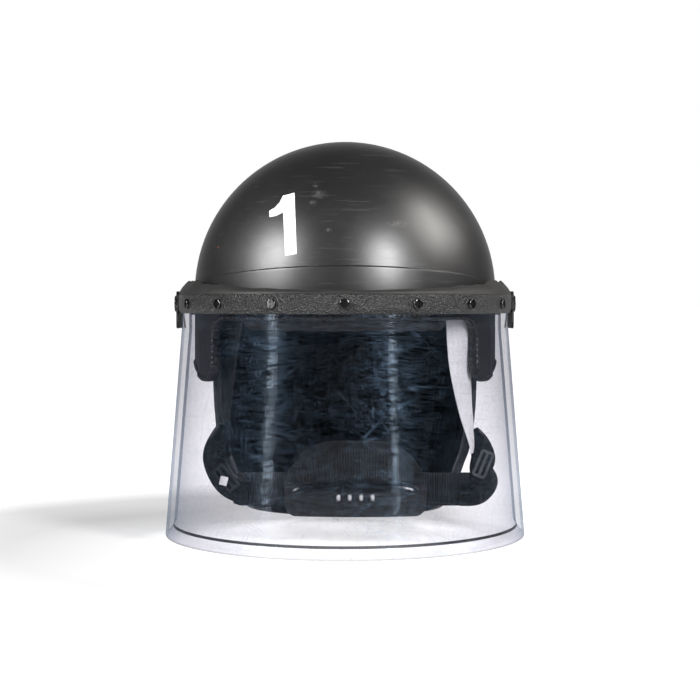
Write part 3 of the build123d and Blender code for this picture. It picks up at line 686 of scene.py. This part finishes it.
def cup_pad_top(x):
    """The pad's upper edge, which follows the cup's arch inside its rim."""
    share = abs(x - cup_middle) / (50.5 * MM)
    for (x0, z0), (x1, z1) in zip(cup_arch, cup_arch[1:]):
        if share <= x1:
            break
    return (26.5 + 48.0 * lerp(z0, z1, clamp((share - x0) / (x1 - x0)))) * MM


def make_cup_pad():
    """The ribbed pad behind the cup's clear window, held between the cup's rim and the webbing."""
    columns, rows = 420, 12
    low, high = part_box("chin_cup_pad")
    pairs = []
    for s in across(columns):
        x = cup_middle + s * ((high[0] - low[0]) / 2 - 0.4 * MM)
        top = cup_pad_top(x)
        for k in range(rows):
            t = k / (rows - 1)
            z = lerp(low[2] + 0.2 * MM, top, t)
            end = min(t, 1 - t)
            edge = (min(1.0, end / 0.12) * min(1.0, (1 - abs(s)) / 0.04)) ** 0.5
            rib = ribs(x, 2.1 * MM) * 0.4 * MM * min(1.0, end / 0.08)
            front, back = (5.35 - 0.4 * edge) * MM - rib, (5.6 + 0.7 * edge) * MM
            pairs.append((on_cup(x, front, z), on_cup(x, back, z)))
    return sheet_mesh(pairs, columns, rows)


def make_felt():
    """White felt behind the cup's vents, with a stud that fills each vent."""
    low, high = (Vector(corner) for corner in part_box("chin_cup_lining"))
    half = (high - low) / 2
    columns, rows = 60, 20
    pairs = []
    for s in across(columns):
        for t in across(rows):
            x = cup_middle + s * (half.x - 0.2 * MM)
            z = (low.z + high.z) / 2 + t * (half.z - 0.2 * MM)
            edge = ((1 - s ** 8) * (1 - t ** 8)) ** 0.5
            fuzz = 0.12 * MM * noise.noise(Vector((x, z, 0)) * 900)
            front, back = (4.6 - 0.4 * edge) * MM - fuzz, (5.1 + 0.5 * edge) * MM
            pairs.append((on_cup(x, front, z), on_cup(x, back, z)))
    verts, faces = sheet_mesh(pairs, columns, rows)
    for step in range(4):
        middle = cup_middle + (step - 1.5) * 8.8 * MM
        rings = []
        for depth, share in ((0.0, 1.0), (0.85, 1.0), (0.95, 0.95), (1.0, 0.78), (1.0, 0.3)):
            ring = []
            for c, s in soft_square(24, 3.2):
                x, z = middle + 1.75 * MM * c * share, 36.5 * MM + 2.75 * MM * s * share
                aside, up = (x - cup_middle) / (50 * MM), (z - 40 * MM) / (12 * MM)
                lobe = sqrt(max(0.0, 1 - aside ** 2 - up ** 2))
                y = lerp(on_cup(x, 4.5 * MM, z).y, cup_face - (11.1 + 8 * lobe) * MM, depth)
                ring.append(Vector((x, y, z)))
            rings.append(ring)
        more, more_faces = ring_sweep(rings)
        faces += [tuple(len(verts) + index for index in face) for face in more_faces]
        verts += more
    return verts, faces


def make_tag():
    """A small cloth tag, curled a little."""
    low, high = (Vector(corner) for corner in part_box("strap_tag"))
    count, middle = 9, (low + high) / 2
    c, s, half = cos(radians(-14)), sin(radians(-14)), Vector((0, 0.3 * MM, 0))
    pairs = []
    for u in across(count):
        for v in across(count):
            x, z = 3.0 * MM * u, 3.4 * MM * v
            place = middle + Vector((x * c - z * s, -0.5 * MM * (u * u - v * 0.5), x * s + z * c))
            pairs.append((place - half, place + half))
    return sheet_mesh(pairs, count, count)


def make_numeral():
    """The white figure on the dome, as a thin film that follows the shell."""
    outline = ((294.6, 193), (283.2, 196), (279.5, 203), (274.5, 208.3), (269.4, 211), (269.6, 217.4),
               (276.5, 216), (283.2, 212.4), (285.2, 256), (296.8, 254))
    pixels_per_reach, middle_x, middle_y = 1802.0, 350, 300
    mesh = bmesh.new()
    base = [mesh.verts.new(((x - middle_x) / pixels_per_reach, 0, -(y - middle_y) / pixels_per_reach))
            for x, y in outline]
    face = mesh.faces.new(base)
    bmesh.ops.triangulate(mesh, faces=[face])
    bmesh.ops.subdivide_edges(mesh, edges=mesh.edges[:], cuts=9, use_grid_fill=True)
    a, b, c = shell_size(-0.12 * MM)
    for v in mesh.verts:
        ray = Vector((v.co.x, 1.0, v.co.z))
        o = Vector((eye.x / a, (eye.y - shell_y) / b, (eye.z - shell_centre) / c))
        d = Vector((ray.x / a, ray.y / b, ray.z / c))
        half = o.dot(d)
        root = half * half - d.dot(d) * (o.dot(o) - 1)
        v.co = eye + ray * ((-half - sqrt(max(root, 0))) / d.dot(d))
    mesh.verts.index_update()
    shape = [v.co.copy() for v in mesh.verts], [tuple(v.index for v in f.verts) for f in mesh.faces]
    mesh.free()
    return shape


# Materials
def grey(value, tint=(1, 1, 1)):
    """A linear colour from a screen tone out of 255."""
    linear = ((value / 255 + 0.055) / 1.055) ** 2.4 if value > 10 else value / 255 / 12.92
    return tuple(linear * t for t in tint)


def shades(colour, spread):
    return tuple(c * (1 - spread) for c in colour), tuple(c * (1 + spread) for c in colour)


class Nodes:
    """Adds nodes to a node tree in few words. Inputs are constants, or sockets to link."""

    def __init__(self, tree):
        self.tree = tree
        self.shader = tree.nodes.get("Principled BSDF")
        self.places = self.add("TexCoord").outputs
        self.coords = self.places["Object"]

    def put(self, node, inputs):
        for key, value in inputs.items():
            socket = node.inputs[key]
            if isinstance(value, bpy.types.NodeSocket):
                self.tree.links.new(value, socket)
            elif socket.type == "RGBA":
                socket.default_value = (*value, 1)
            else:
                socket.default_value = value

    def add(self, kind, inputs=None, **settings):
        node = self.tree.nodes.new("ShaderNode" + kind)
        for key, value in settings.items():
            setattr(node, key, value)
        self.put(node, inputs or {})
        return node

    def noise(self, scale, detail=4.0, rough=0.55, stretch=(1, 1, 1), turn=(0, 0, 0), at=None):
        if at is None:
            at = self.add("Mapping", {"Vector": self.coords, "Scale": stretch, "Rotation": turn}).outputs[0]
        inputs = {"Vector": at, "Scale": scale, "Detail": detail, "Roughness": rough}
        return self.add("TexNoise", inputs).outputs["Fac"]

    def wander(self, source, scale, detail, amount):
        """Coordinates that a noise pushes about."""
        bend = self.add("TexNoise", {"Vector": source, "Scale": scale, "Detail": detail}).outputs["Color"]
        shift = self.add("VectorMath", {0: bend, "Scale": amount}, operation="SCALE").outputs[0]
        return self.add("VectorMath", {0: source, 1: shift}, operation="ADD").outputs[0]

    def ramp(self, source, *stops):
        node = self.add("ValToRGB", {"Fac": source})
        line = node.color_ramp
        while len(line.elements) < len(stops):
            line.elements.new(0.5)
        for element, (place, colour) in zip(line.elements, stops):
            element.position = place
            element.color = (colour, colour, colour, 1) if isinstance(colour, (int, float)) else (*colour, 1)
        return node.outputs["Color"]

    def math(self, operation, a, b=0.0, limit=False):
        return self.add("Math", {0: a, 1: b}, operation=operation, use_clamp=limit).outputs[0]

    def times(self, a, b, limit=False):
        return self.math("MULTIPLY", a, b, limit)

    def plus(self, a, b, limit=False):
        return self.math("ADD", a, b, limit)

    def minus(self, a, b, limit=False):
        return self.math("SUBTRACT", a, b, limit)

    def most(self, a, b):
        return self.math("MAXIMUM", a, b)

    def away(self, centre, size=(1.0, 1.0)):
        """Distance from a centre in x and z, in shares of the size."""
        x, _, z = self.spot()
        dx, dz = (self.math("DIVIDE", self.minus(p, c), s) for p, c, s in zip((x, z), centre, size))
        return self.math("SQRT", self.plus(self.times(dx, dx), self.times(dz, dz)))

    def mix(self, factor, a, b):
        return self.add("Mix", {0: factor, 6: a, 7: b}, data_type="RGBA").outputs[2]

    def rise(self, value, low, high, to_low, to_high):
        inputs = {"Value": value, "From Min": low, "From Max": high, "To Min": to_low, "To Max": to_high}
        return self.add("MapRange", inputs, interpolation_type="SMOOTHSTEP").outputs[0]

    def bump(self, height, strength, distance=0.0005):
        node = self.add("Bump", {"Strength": strength, "Distance": distance, "Height": height})
        self.put(self.shader, {"Normal": node.outputs[0]})

    def surface(self, colour, rough):
        self.put(self.shader, {"Base Color": colour, "Roughness": rough})

    def spot(self, kind="Object"):
        """The x, y and z of the place that is being shaded."""
        return self.add("SeparateXYZ", {0: self.places[kind]}).outputs


def start(name, colour=(0.8, 0.8, 0.8), rough=0.5, **values):
    """A new material and its nodes, with constants on the shader."""
    m = bpy.data.materials.new(name)
    m.use_nodes = True
    n = Nodes(m.node_tree)
    n.surface(colour, rough)
    for key, value in values.items():
        n.put(n.shader, {key.replace("_", " ").title().replace("Ior", "IOR"): value})
    return m, n


def round_visor(n, stretch, turn, wander=0.0):
    """Coordinates along the visor's curve and up, turned and stretched so that noise becomes lines."""
    x, y, z = n.spot()
    along = n.times(n.math("ARCTAN2", x, n.minus(pivot_y, y)), 0.14)
    source = n.add("CombineXYZ", {0: along, 1: z}).outputs[0]
    if wander:
        source = n.wander(source, 9, 0, wander)
    turned = n.add("Mapping", {"Vector": source, "Rotation": (0, 0, radians(turn))}).outputs[0]
    return n.add("Mapping", {"Vector": turned, "Scale": stretch}).outputs[0]


def scratch_lines(n, turn, scale, ratio, half, broken):
    """Hair-thin scratches in one main direction: level lines of a stretched noise, broken up by another."""
    wander = 0.03
    level = n.noise(scale, 0, 0.5, at=round_visor(n, (1, ratio, 1), turn, wander))
    line = n.ramp(level, (0.0, 0.0), (0.5 - half, 0.0), (0.5, 1.0), (0.5 + half, 0.0), (1.0, 0.0))
    gate = n.noise(scale * 0.8, 1, 0.5, at=round_visor(n, (1, 2.5, 1), turn + 4, wander))
    return n.times(line, n.ramp(gate, (0.0, 0.0), (broken, 0.0), (broken + 0.06, 1.0), (1.0, 1.0)))


def make_clear():
    """Clear wall: a tint that deepens at grazing angles, gloss, and scratches that catch the lamps."""
    m, n = start("clear shield")
    n.tree.nodes.remove(n.shader)
    facing = n.add("LayerWeight", {"Blend": 0.5}).outputs["Facing"]
    tint = n.mix(facing, (0.962, 0.960, 0.972), (0.68, 0.67, 0.715))
    through = n.add("BsdfTransparent", {"Color": tint}).outputs[0]
    gloss = n.add("BsdfGlossy", {"Roughness": 0.13, "Color": (0.72, 0.86, 1)}).outputs[0]
    mirror = n.ramp(n.noise(55, 3, 0.5, at=round_visor(n, (7, 1, 1), 3)), (0.36, 0.004), (0.66, 0.032))
    hatch = 0.0
    for turn, scale in ((9, 95), (-13, 120)):
        marks = n.noise(scale, 2, 0.5, at=round_visor(n, (1, 7, 1), turn, 0.02))
        hatch = n.most(hatch, n.ramp(marks, (0.48, 0.0), (0.62, 1.0)))
    mirror = n.times(mirror, n.plus(n.times(hatch, 2.2), 0.25))
    shine = n.plus(mirror, n.times(n.math("POWER", facing, 5.0), 0.6))
    clean = n.add("MixShader", {0: shine, 1: through, 2: gloss}).outputs[0]
    lines = 0.0
    for scratch in ((5, 42, 8, 0.016, 0.47), (-13, 48, 7, 0.016, 0.48), (-34, 44, 8, 0.016, 0.49),
                    (24, 46, 8, 0.016, 0.48), (50, 40, 8, 0.015, 0.5), (-62, 42, 8, 0.015, 0.5),
                    (84, 38, 8, 0.015, 0.5)):
        lines = n.most(lines, scratch_lines(n, *scratch))
    patches = n.ramp(n.noise(16, 3, 0.6), (0.0, 0.35), (0.40, 0.45), (0.60, 1.0), (1.0, 1.0))
    haze = n.ramp(n.noise(260, 3, 0.7), (0.0, 0.05), (0.5, 0.08), (0.75, 0.3), (1.0, 0.6))
    amount = n.times(n.most(n.times(lines, patches), n.times(hatch, n.times(haze, 0.9))), 0.125)
    worn = n.add("BsdfGlossy", {"Roughness": 0.32, "Color": (0.45, 0.69, 1)}).outputs[0]
    final = n.add("MixShader", {0: amount, 1: clean, 2: worn}).outputs[0]
    n.put(n.tree.nodes["Material Output"], {"Surface": final})
    return m


def see_through(name, colour, rough, alpha, low, high, rim=None, full_below=None):
    """A tinted see-through plastic. Rims at grazing angles can be paler, a painted reflection, and the part
    below a height can cover more.
    """
    m, n = start(name, colour, rough, ior=1.5)
    facing = n.add("LayerWeight", {"Blend": 0.4}).outputs["Facing"]
    cover = n.plus(alpha, n.times(facing, 0.5))
    if full_below is not None:
        under = n.times(n.minus(full_below, n.spot()[2]), 400.0, True)
        cover = n.most(cover, n.times(under, 0.9))
    # The paler rim colour at grazing angles is a painted reflection.
    colour_and_painted_rim = colour if rim is None else n.mix(n.math("POWER", facing, 2.5), colour, rim)
    n.surface(colour_and_painted_rim, n.ramp(n.noise(60, 4), (0.3, low), (0.7, high)))
    n.put(n.shader, {"Alpha": n.math("MINIMUM", cover, 1.0)})
    n.bump(n.noise(700, 2), 0.05)
    return m


def rough_plastic(name, tone, low, high, scale, strength, distance=0.0004, tint=(1, 1, 1), spread=0.35):
    """Moulded plastic, rubber or painted steel: a varied tone, varied gloss and a fine grain."""
    m, n = start(name, grey(tone, tint), (low + high) / 2)
    dark, light = shades(grey(tone, tint), spread)
    n.surface(n.ramp(n.noise(38, 5, 0.6), (0.3, dark), (0.7, light)),
              n.ramp(n.noise(90, 4, 0.6), (0.3, low), (0.7, high)))
    n.bump(n.noise(scale, 3, 0.6), strength, distance)
    return m


def make_paint():
    """Satin charcoal paint with soft mottling, dust, thin scratches and the photograph's scuffs."""
    m, n = start("shell paint", grey(22), 0.4, specular_ior_level=1.0)
    cast = (1.0, 0.98, 1.06)
    base = n.ramp(n.noise(16, 5, 0.62), (0.25, grey(16, cast)), (0.75, grey(24, cast)))
    specks = n.ramp(n.noise(900, 2, 0.5), (0.0, 0.0), (0.70, 0.0), (0.78, 1.0), (1.0, 1.0))
    base = n.mix(n.times(specks, 0.16), base, grey(120))
    scratches = 0.0
    for turn, scale, low in ((0.3, 26, 0.68), (1.2, 22, 0.69), (2.2, 30, 0.69), (2.8, 20, 0.7)):
        fine = n.noise(scale, 2, 0.5, (1, 1, 26), (turn, turn * 0.6, turn))
        scratches = n.most(scratches, n.ramp(fine, (0.0, 0.0), (low, 0.0), (low + 0.03, 1.0), (1.0, 1.0)))
    base = n.mix(n.times(scratches, 0.05), base, grey(150, (1, 0.96, 0.9)))
    front = n.math("LESS_THAN", n.spot()[1], shell_y)
    smears = 0.0
    for centre, size, breaking in (
        ((-0.019, 0.2685), (0.0075, 0.004), 420),
        ((-0.024, 0.262), (0.004, 0.0025), 500),
        ((-0.022, 0.276), (0.003, 0.003), 500),
        ((0.040, 0.246), (0.010, 0.0035), 420),
        ((-0.012, 0.241), (0.003, 0.002), 500),
    ):
        near = n.minus(1.0, n.away(centre, size), True)
        broken = n.ramp(n.noise(breaking, 5, 0.7), (0.42, 0.0), (0.62, 1.0))
        smears = n.most(smears, n.times(n.times(near, broken), front))
    base = n.mix(n.times(smears, 0.5, True), base, grey(120, (1, 0.97, 0.93)))
    for centre, size, tone in (((-0.016, 0.2115), 0.0022, (0.012, 0.008, 0.01)),
                               ((-0.098, 0.230), 0.0016, (0.10, 0.03, 0.02))):
        ragged = n.plus(n.away(centre), n.times(n.noise(500), 0.0016))
        base = n.mix(n.times(n.math("LESS_THAN", ragged, size), front), base, tone)
    rough = n.ramp(n.noise(34, 5, 0.65), (0.25, 0.36), (0.75, 0.43))
    n.surface(base, n.plus(rough, n.times(n.most(scratches, smears), 0.05), True))
    n.bump(n.plus(n.noise(330, 2, 0.5), n.times(n.noise(60, 3), 0.6)), 0.1, 0.0003)
    return m


def make_wrinkle():
    """Hard plastic with a raised leather grain."""
    m, n = start("band plastic", grey(10), 0.4, specular_ior_level=0.9)
    cells = n.add("TexVoronoi", {"Vector": n.wander(n.coords, 600, 3, 0.0014)}, feature="SMOOTH_F1")
    n.put(cells, {"Scale": 880, "Smoothness": 0.6})
    grain = n.ramp(cells.outputs["Distance"], (0.1, 1.0), (0.75, 0.0))
    n.surface(n.mix(grain, grey(2), grey(11, (0.93, 0.98, 1.1))), n.ramp(grain, (0.0, 0.55), (1.0, 0.2)))
    n.bump(grain, 1.0, 0.0011)
    return m


def make_cloth(name, tone, tint, rough, weave, strength, sheen=0.0, spread=0.3, gloss=0.5):
    """Woven or coated cloth with an over-and-under thread pattern."""
    colour = grey(tone, tint)
    m, n = start(name, colour, rough, sheen_weight=sheen, specular_ior_level=gloss)
    x, y, z = n.spot()
    weft = n.math("SINE", n.times(n.plus(x, y), weave))
    warp = n.math("SINE", n.times(z, weave))
    thread = n.plus(n.times(n.times(weft, warp), 0.5), 0.5)
    dark, light = shades(colour, spread)
    mottled = n.ramp(n.noise(55, 5, 0.6), (0.3, dark), (0.7, light))
    n.surface(n.mix(n.times(thread, 0.4), mottled, tuple(c * 0.55 for c in colour)),
              n.ramp(n.noise(120, 4, 0.6), (0.3, rough - 0.08), (0.7, min(1.0, rough + 0.1))))
    n.bump(n.plus(thread, n.times(n.noise(1500, 3), 0.7)), strength, 0.0003)
    return m


def make_apron():
    """Coated cloth, almost black with a blue cast, glossy and finely creased."""
    m, n = start("apron cloth", grey(7, (0.8, 0.95, 1.5)), 0.3, specular_ior_level=0.3)
    n.surface(n.ramp(n.noise(30, 5, 0.6), (0.3, grey(4, (0.8, 0.95, 1.5))), (0.7, grey(9, (0.8, 0.97, 1.5)))),
              n.ramp(n.noise(70, 5, 0.6), (0.3, 0.26), (0.7, 0.45)))
    grain = n.add("TexVoronoi", {"Vector": n.coords, "Scale": 900}).outputs["Distance"]
    n.bump(n.plus(n.times(grain, 0.25), n.noise(34, 6, 0.65, (1, 1, 0.35))), 0.35, 0.0015)
    return m


def make_metal(name, tone, tint, low, high, worn=0.25):
    """Handled metal: an uneven tone, uneven gloss and fine brush marks."""
    m, n = start(name, grey(tone, tint), (low + high) / 2, metallic=1.0)
    dark, light = shades(grey(tone, tint), worn)
    n.surface(n.ramp(n.noise(160, 5, 0.65), (0.35, dark), (0.7, tuple(min(1.0, c) for c in light))),
              n.ramp(n.noise(240, 4, 0.6), (0.3, low), (0.7, high)))
    n.bump(n.noise(1300, 3, 0.6), 0.12, 0.0002)
    return m


paint = make_paint()
rubber = rough_plastic("edge rubber", 40, 0.26, 0.4, 1300, 0.25)
gasket_rubber = rough_plastic("gasket rubber", 34, 0.5, 0.68, 700, 0.3, tint=(1, 0.97, 0.92), spread=0.25)
band_plastic = make_wrinkle()
apron = make_apron()
binding = make_cloth("binding", 50, (0.88, 0.95, 1.2), 0.42, 5200, 0.3)
foam = rough_plastic("liner foam", 62, 0.85, 0.97, 900, 0.9, 0.0008)
pad_cloth = make_cloth("pad cloth", 32, (0.95, 1, 1.05), 0.85, 4200, 0.6, 0.25)
brow_cloth = make_cloth("brow cloth", 38, (1.03, 0.96, 0.92), 0.6, 3600, 0.35)
webbing = make_cloth("ribbed webbing", 20, (0.93, 0.98, 1.08), 0.5, 5000, 0.35, gloss=0.3)
strap_cloth = make_cloth("strap cloth", 5, (0.85, 0.95, 1.3), 0.34, 4600, 0.2, gloss=0.25)
white_strap = make_cloth("white strap", 252, (1, 1, 0.99), 0.5, 3800, 0.2, 0.0, 0.06)
ear_cloth = make_cloth("ear cloth", 84, (0.98, 1, 1.05), 0.8, 4200, 0.5, 0.3)
felt_back = make_cloth("felt back", 30, (1, 1, 1.05), 0.9, 2500, 0.5)
felt = make_cloth("white felt", 225, (1, 1, 1), 0.9, 2500, 0.6, 0.2, 0.08)
figure_film = rough_plastic("figure film", 245, 0.4, 0.52, 800, 0.1, spread=0.04)
clear = make_clear()
# A painted dark line for the foot bevel, standing in for the darkening that refraction gives a thick clear
# edge.
painted_dark_line = see_through("painted dark edge line", grey(26, (1, 1, 1.2)), 0.6, 0.9, 0.55, 0.7)
pale_edge = see_through("pale cut edge", grey(120, (1, 1, 1.06)), 0.2, 0.22, 0.15, 0.3)
cup_tone = grey(24, (0.95, 1, 1.06))
# grey(120) is the colour of the cup's painted rim reflection.
cup_plastic = see_through("cup plastic", cup_tone, 0.12, 0.30, 0.06, 0.14, grey(120), 47 * MM)
black_plastic = rough_plastic("black plastic", 30, 0.32, 0.5, 1000, 0.2)
dark_steel = make_metal("dark steel", 88, (1, 1, 1.02), 0.12, 0.24)
worn_steel = make_metal("worn steel", 130, (1, 1, 1.02), 0.28, 0.45)
copper = make_metal("copper spring", 190, (1, 0.42, 0.22), 0.28, 0.45)


def sides(*names):
    return [name + side for name in names for side in ("_left", "_right")]


# The CAD nodes that show as they are
carried = {
    dark_steel: ["band_screws", "band_nuts", "carrier_rivets", "strap_anchor_rivets"]
    + sides("pivot_screw", "pivot_washer", "pivot_nut"),
    black_plastic: ["collar_carrier", "strap_slider_left"]
    + sides("pivot_bushing", "pivot_spacer", "strap_anchor"),
    band_plastic: sides("hinge_plate"),
    copper: sides("leaf_spring"),
    worn_steel: ["strap_slider_right"],
    cup_plastic: ["chin_cup"],
}
for look, names in carried.items():
    for name in names:
        materials = frame["nodes"][name].data.materials
        materials.clear()
        materials.append(look)

# Shell and visor
shell = add("shell_skin", make_shell(), "helmet", (), paint, 40)
cut_by_side(shell, side_line(200 * MM, 1.2 * MM))
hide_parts("shell")
add("edge_bead", make_trim(), "helmet", ("shell_edge_trim",), rubber)
add("brow_band", make_band(), "visor", ("visor_band",), band_plastic, 30)
add("shell_gasket", make_gasket(), "visor", ("visor_gasket",), gasket_rubber)
wall = add("clear_wall", make_shield(), "visor", ("face_shield",), clear, 35)
for look in (painted_dark_line, pale_edge):
    wall.data.materials.append(look)
# The top of the foot's inner bevel gets the painted dark line; the foot and the rear cut ends get the pale
# cut edge.
for face in wall.data.polygons:
    if 7.9 * MM < face.center.z < 9.8 * MM:
        face.material_index = 1
    elif face.center.z < 0.8 * MM or face.center.y > pivot_y + shield_rear - 0.05 * MM:
        face.material_index = 2

# Neck protector, liner and pads
add("neck_guard", make_collar(), "helmet", ("neck_protector",), apron, 70)
for name, side in (("binding_left", -1), ("binding_right", 1)):
    add(name, make_piping(side), "helmet", ("neck_protector_piping",), binding)
add("foam_liner", make_foam(), "helmet", ("impact_liner",), foam, 60)


def add_pad(name, shape, node, look=pad_cloth):
    add(name, shape, "helmet", (node,), look, 70)


long_pad = 40 * MM, 19 * MM, 30 * MM, 5
add_pad("crown_cushion", make_pad(2, 1, 42 * MM, 42 * MM, 0, 2), "crown_pad")
add_pad("side_cushion_left", make_pad(0, -1, *long_pad), "side_pad_left")
add_pad("side_cushion_right", make_pad(0, 1, *long_pad), "side_pad_right")
add_pad("rear_cushion", make_pad(1, 1, *long_pad), "rear_pad")
low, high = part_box("brow_pad")
brow = arc_roll(0, radians(42), low[2], high[2], 12 * MM, 120, 60)
add_pad("brow_roll", brow, "brow_pad", brow_cloth)
low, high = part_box("ear_pad_right")
for name, sign in (("left", -1), ("right", 1)):
    ear = arc_roll(sign * pi / 2, asin(39 / 134), low[2], high[2], 17 * MM, 70, 26)
    add_pad("ear_roll_" + name, ear, "ear_pad_" + name, ear_cloth)

# Straps and chin cup
for name, leg, loop, look in (("right", right_leg, right_loop, white_strap),
                              ("left", left_leg, left_loop, strap_cloth)):
    add("strap_leg_" + name, make_leg(leg), "helmet", ("strap_" + name,), look)
    add("strap_loop_" + name, make_loop(loop), "helmet", ("strap_" + name,), strap_cloth)
add("chin_web", make_webbing(), "helmet", ("chin_webbing",), webbing)
add("cup_pad", make_cup_pad(), "cup", ("chin_cup_pad",), webbing, 60)
piece = add("cup_felt", make_felt(), "cup", ("chin_cup_lining",), felt, 60)
piece.data.materials.append(felt_back)
for face in piece.data.polygons:
    if face.center.y > on_cup(face.center.x, 3.9 * MM, face.center.z).y:
        face.material_index = 1
add("cloth_tag", make_tag(), "helmet", ("strap_tag",), white_strap)
add("figure_one", make_numeral(), "helmet", (), figure_film)


# Camera, lights and floor
def strip_light(name, azimuth, distance, low, high, width, power, colour=(1, 1, 1)):
    """An upright soft box that faces the helmet, from a low to a high edge."""
    a = radians(azimuth)
    data = bpy.data.lights.new(name, "AREA")
    data.shape, data.size, data.size_y = "RECTANGLE", width, high - low
    data.energy, data.color = power, colour
    lamp = bpy.data.objects.new(name, data)
    bpy.context.scene.collection.objects.link(lamp)
    lamp.location = (distance * sin(a), -distance * cos(a), (low + high) / 2)
    lamp.rotation_euler = (pi / 2, 0, a)


scene = bpy.context.scene
scene.view_settings.view_transform = "Standard"
camera_data = bpy.data.cameras.new("camera")
camera_data.lens = 92.7
camera_data.clip_end = 100
camera = bpy.data.objects.new("camera", camera_data)
scene.collection.objects.link(camera)
camera.location = eye
camera.rotation_euler = (radians(90 - eye_turn_down), 0, 0)
scene.camera = camera


def seen_ray(n, gloss_share):
    """1 for rays that show the background: from the camera, through glass and, by a share, in gloss."""
    path = n.add("LightPath").outputs
    total = n.plus(path["Is Camera Ray"], n.times(path["Is Glossy Ray"], gloss_share))
    return path["Is Camera Ray"], n.plus(total, path["Is Transmission Ray"], True)


# The room is white behind the helmet and above it, and dim where the camera stands
room_light = 0.18
world = bpy.data.worlds.new("world")
scene.world = world
world.use_nodes = True
n = Nodes(world.node_tree)
camera_ray, any_ray = seen_ray(n, 1.0)
room = n.rise(n.spot("Generated")[1], 0.80, 1.0, 0.06, 0.8)
white = n.add("Mix", {0: any_ray, 2: room_light, 3: room}, data_type="FLOAT").outputs[0]
level = n.add("Mix", {0: camera_ray, 2: white, 3: 1.0}, data_type="FLOAT").outputs[0]
n.put(n.tree.nodes["Background"], {"Color": (1, 1, 1), "Strength": level})

# A floor that glows white far from the helmet, glows almost as bright under and just round the helmet,
# painted light where the helmet would shade it, and shows the lamps' shadow in the ring between
floor_half = 40
corners = [(x * floor_half, y * floor_half, 0) for x, y in ((-1, -1), (1, -1), (1, 1), (-1, 1))]
mesh = bpy.data.meshes.new("floor")
mesh.from_pydata(corners, [], [(0, 1, 2, 3)])
floor = bpy.data.objects.new("floor", mesh)
scene.collection.objects.link(floor)
floor.location.z = -0.6 * MM
ground = bpy.data.materials.new("floor")
ground.use_nodes = True
mesh.materials.append(ground)
n = Nodes(ground.node_tree)
n.tree.nodes.remove(n.shader)
any_ray = seen_ray(n, 0.12)[1]
shifted = n.add("VectorMath", {0: n.coords, 1: (0, 0.06, 0)}, operation="ADD").outputs[0]
length = n.add("VectorMath", {0: shifted}, operation="LENGTH").outputs["Value"]
# Within 0.13 m of the middle the glow paints light under the helmet.
glow_and_painted_light = n.ramp(length, (0.0, 0.84), (0.13, 0.84), (0.175, 0.40), (0.26, 0.22), (0.36, 0.30), (0.48, 0.9),
              (1.0, 1.0))
# Painted light: more glow on the right of the helmet washes out the lamps' shadow there
painted_light_right = n.rise(n.spot()[0], 0.04, 0.14, 0.0, 0.95)
shine = n.add("Emission", {"Strength": n.times(n.most(glow_and_painted_light, painted_light_right), any_ray)}).outputs[0]
lit = n.add("BsdfDiffuse", {"Color": (0.5, 0.5, 0.505)}).outputs[0]
both = n.add("AddShader", {0: shine, 1: lit}).outputs[0]
n.put(n.tree.nodes["Material Output"], {"Surface": both})

strip_light("left_box", -62, 1.5, 0.6, 1.35, 0.60, 33)
strip_light("left_edge", -54, 1.55, 0.06, 1.0, 0.10, 1.7)
strip_light("right_box", 36, 1.5, 0.6, 1.35, 0.32, 32)
strip_light("right_edge", 35, 1.55, 0.06, 1.0, 0.08, 1.0)
strip_light("back_box", 96, 1.6, 0.9, 2.2, 0.9, 28, (1.0, 0.97, 0.93))
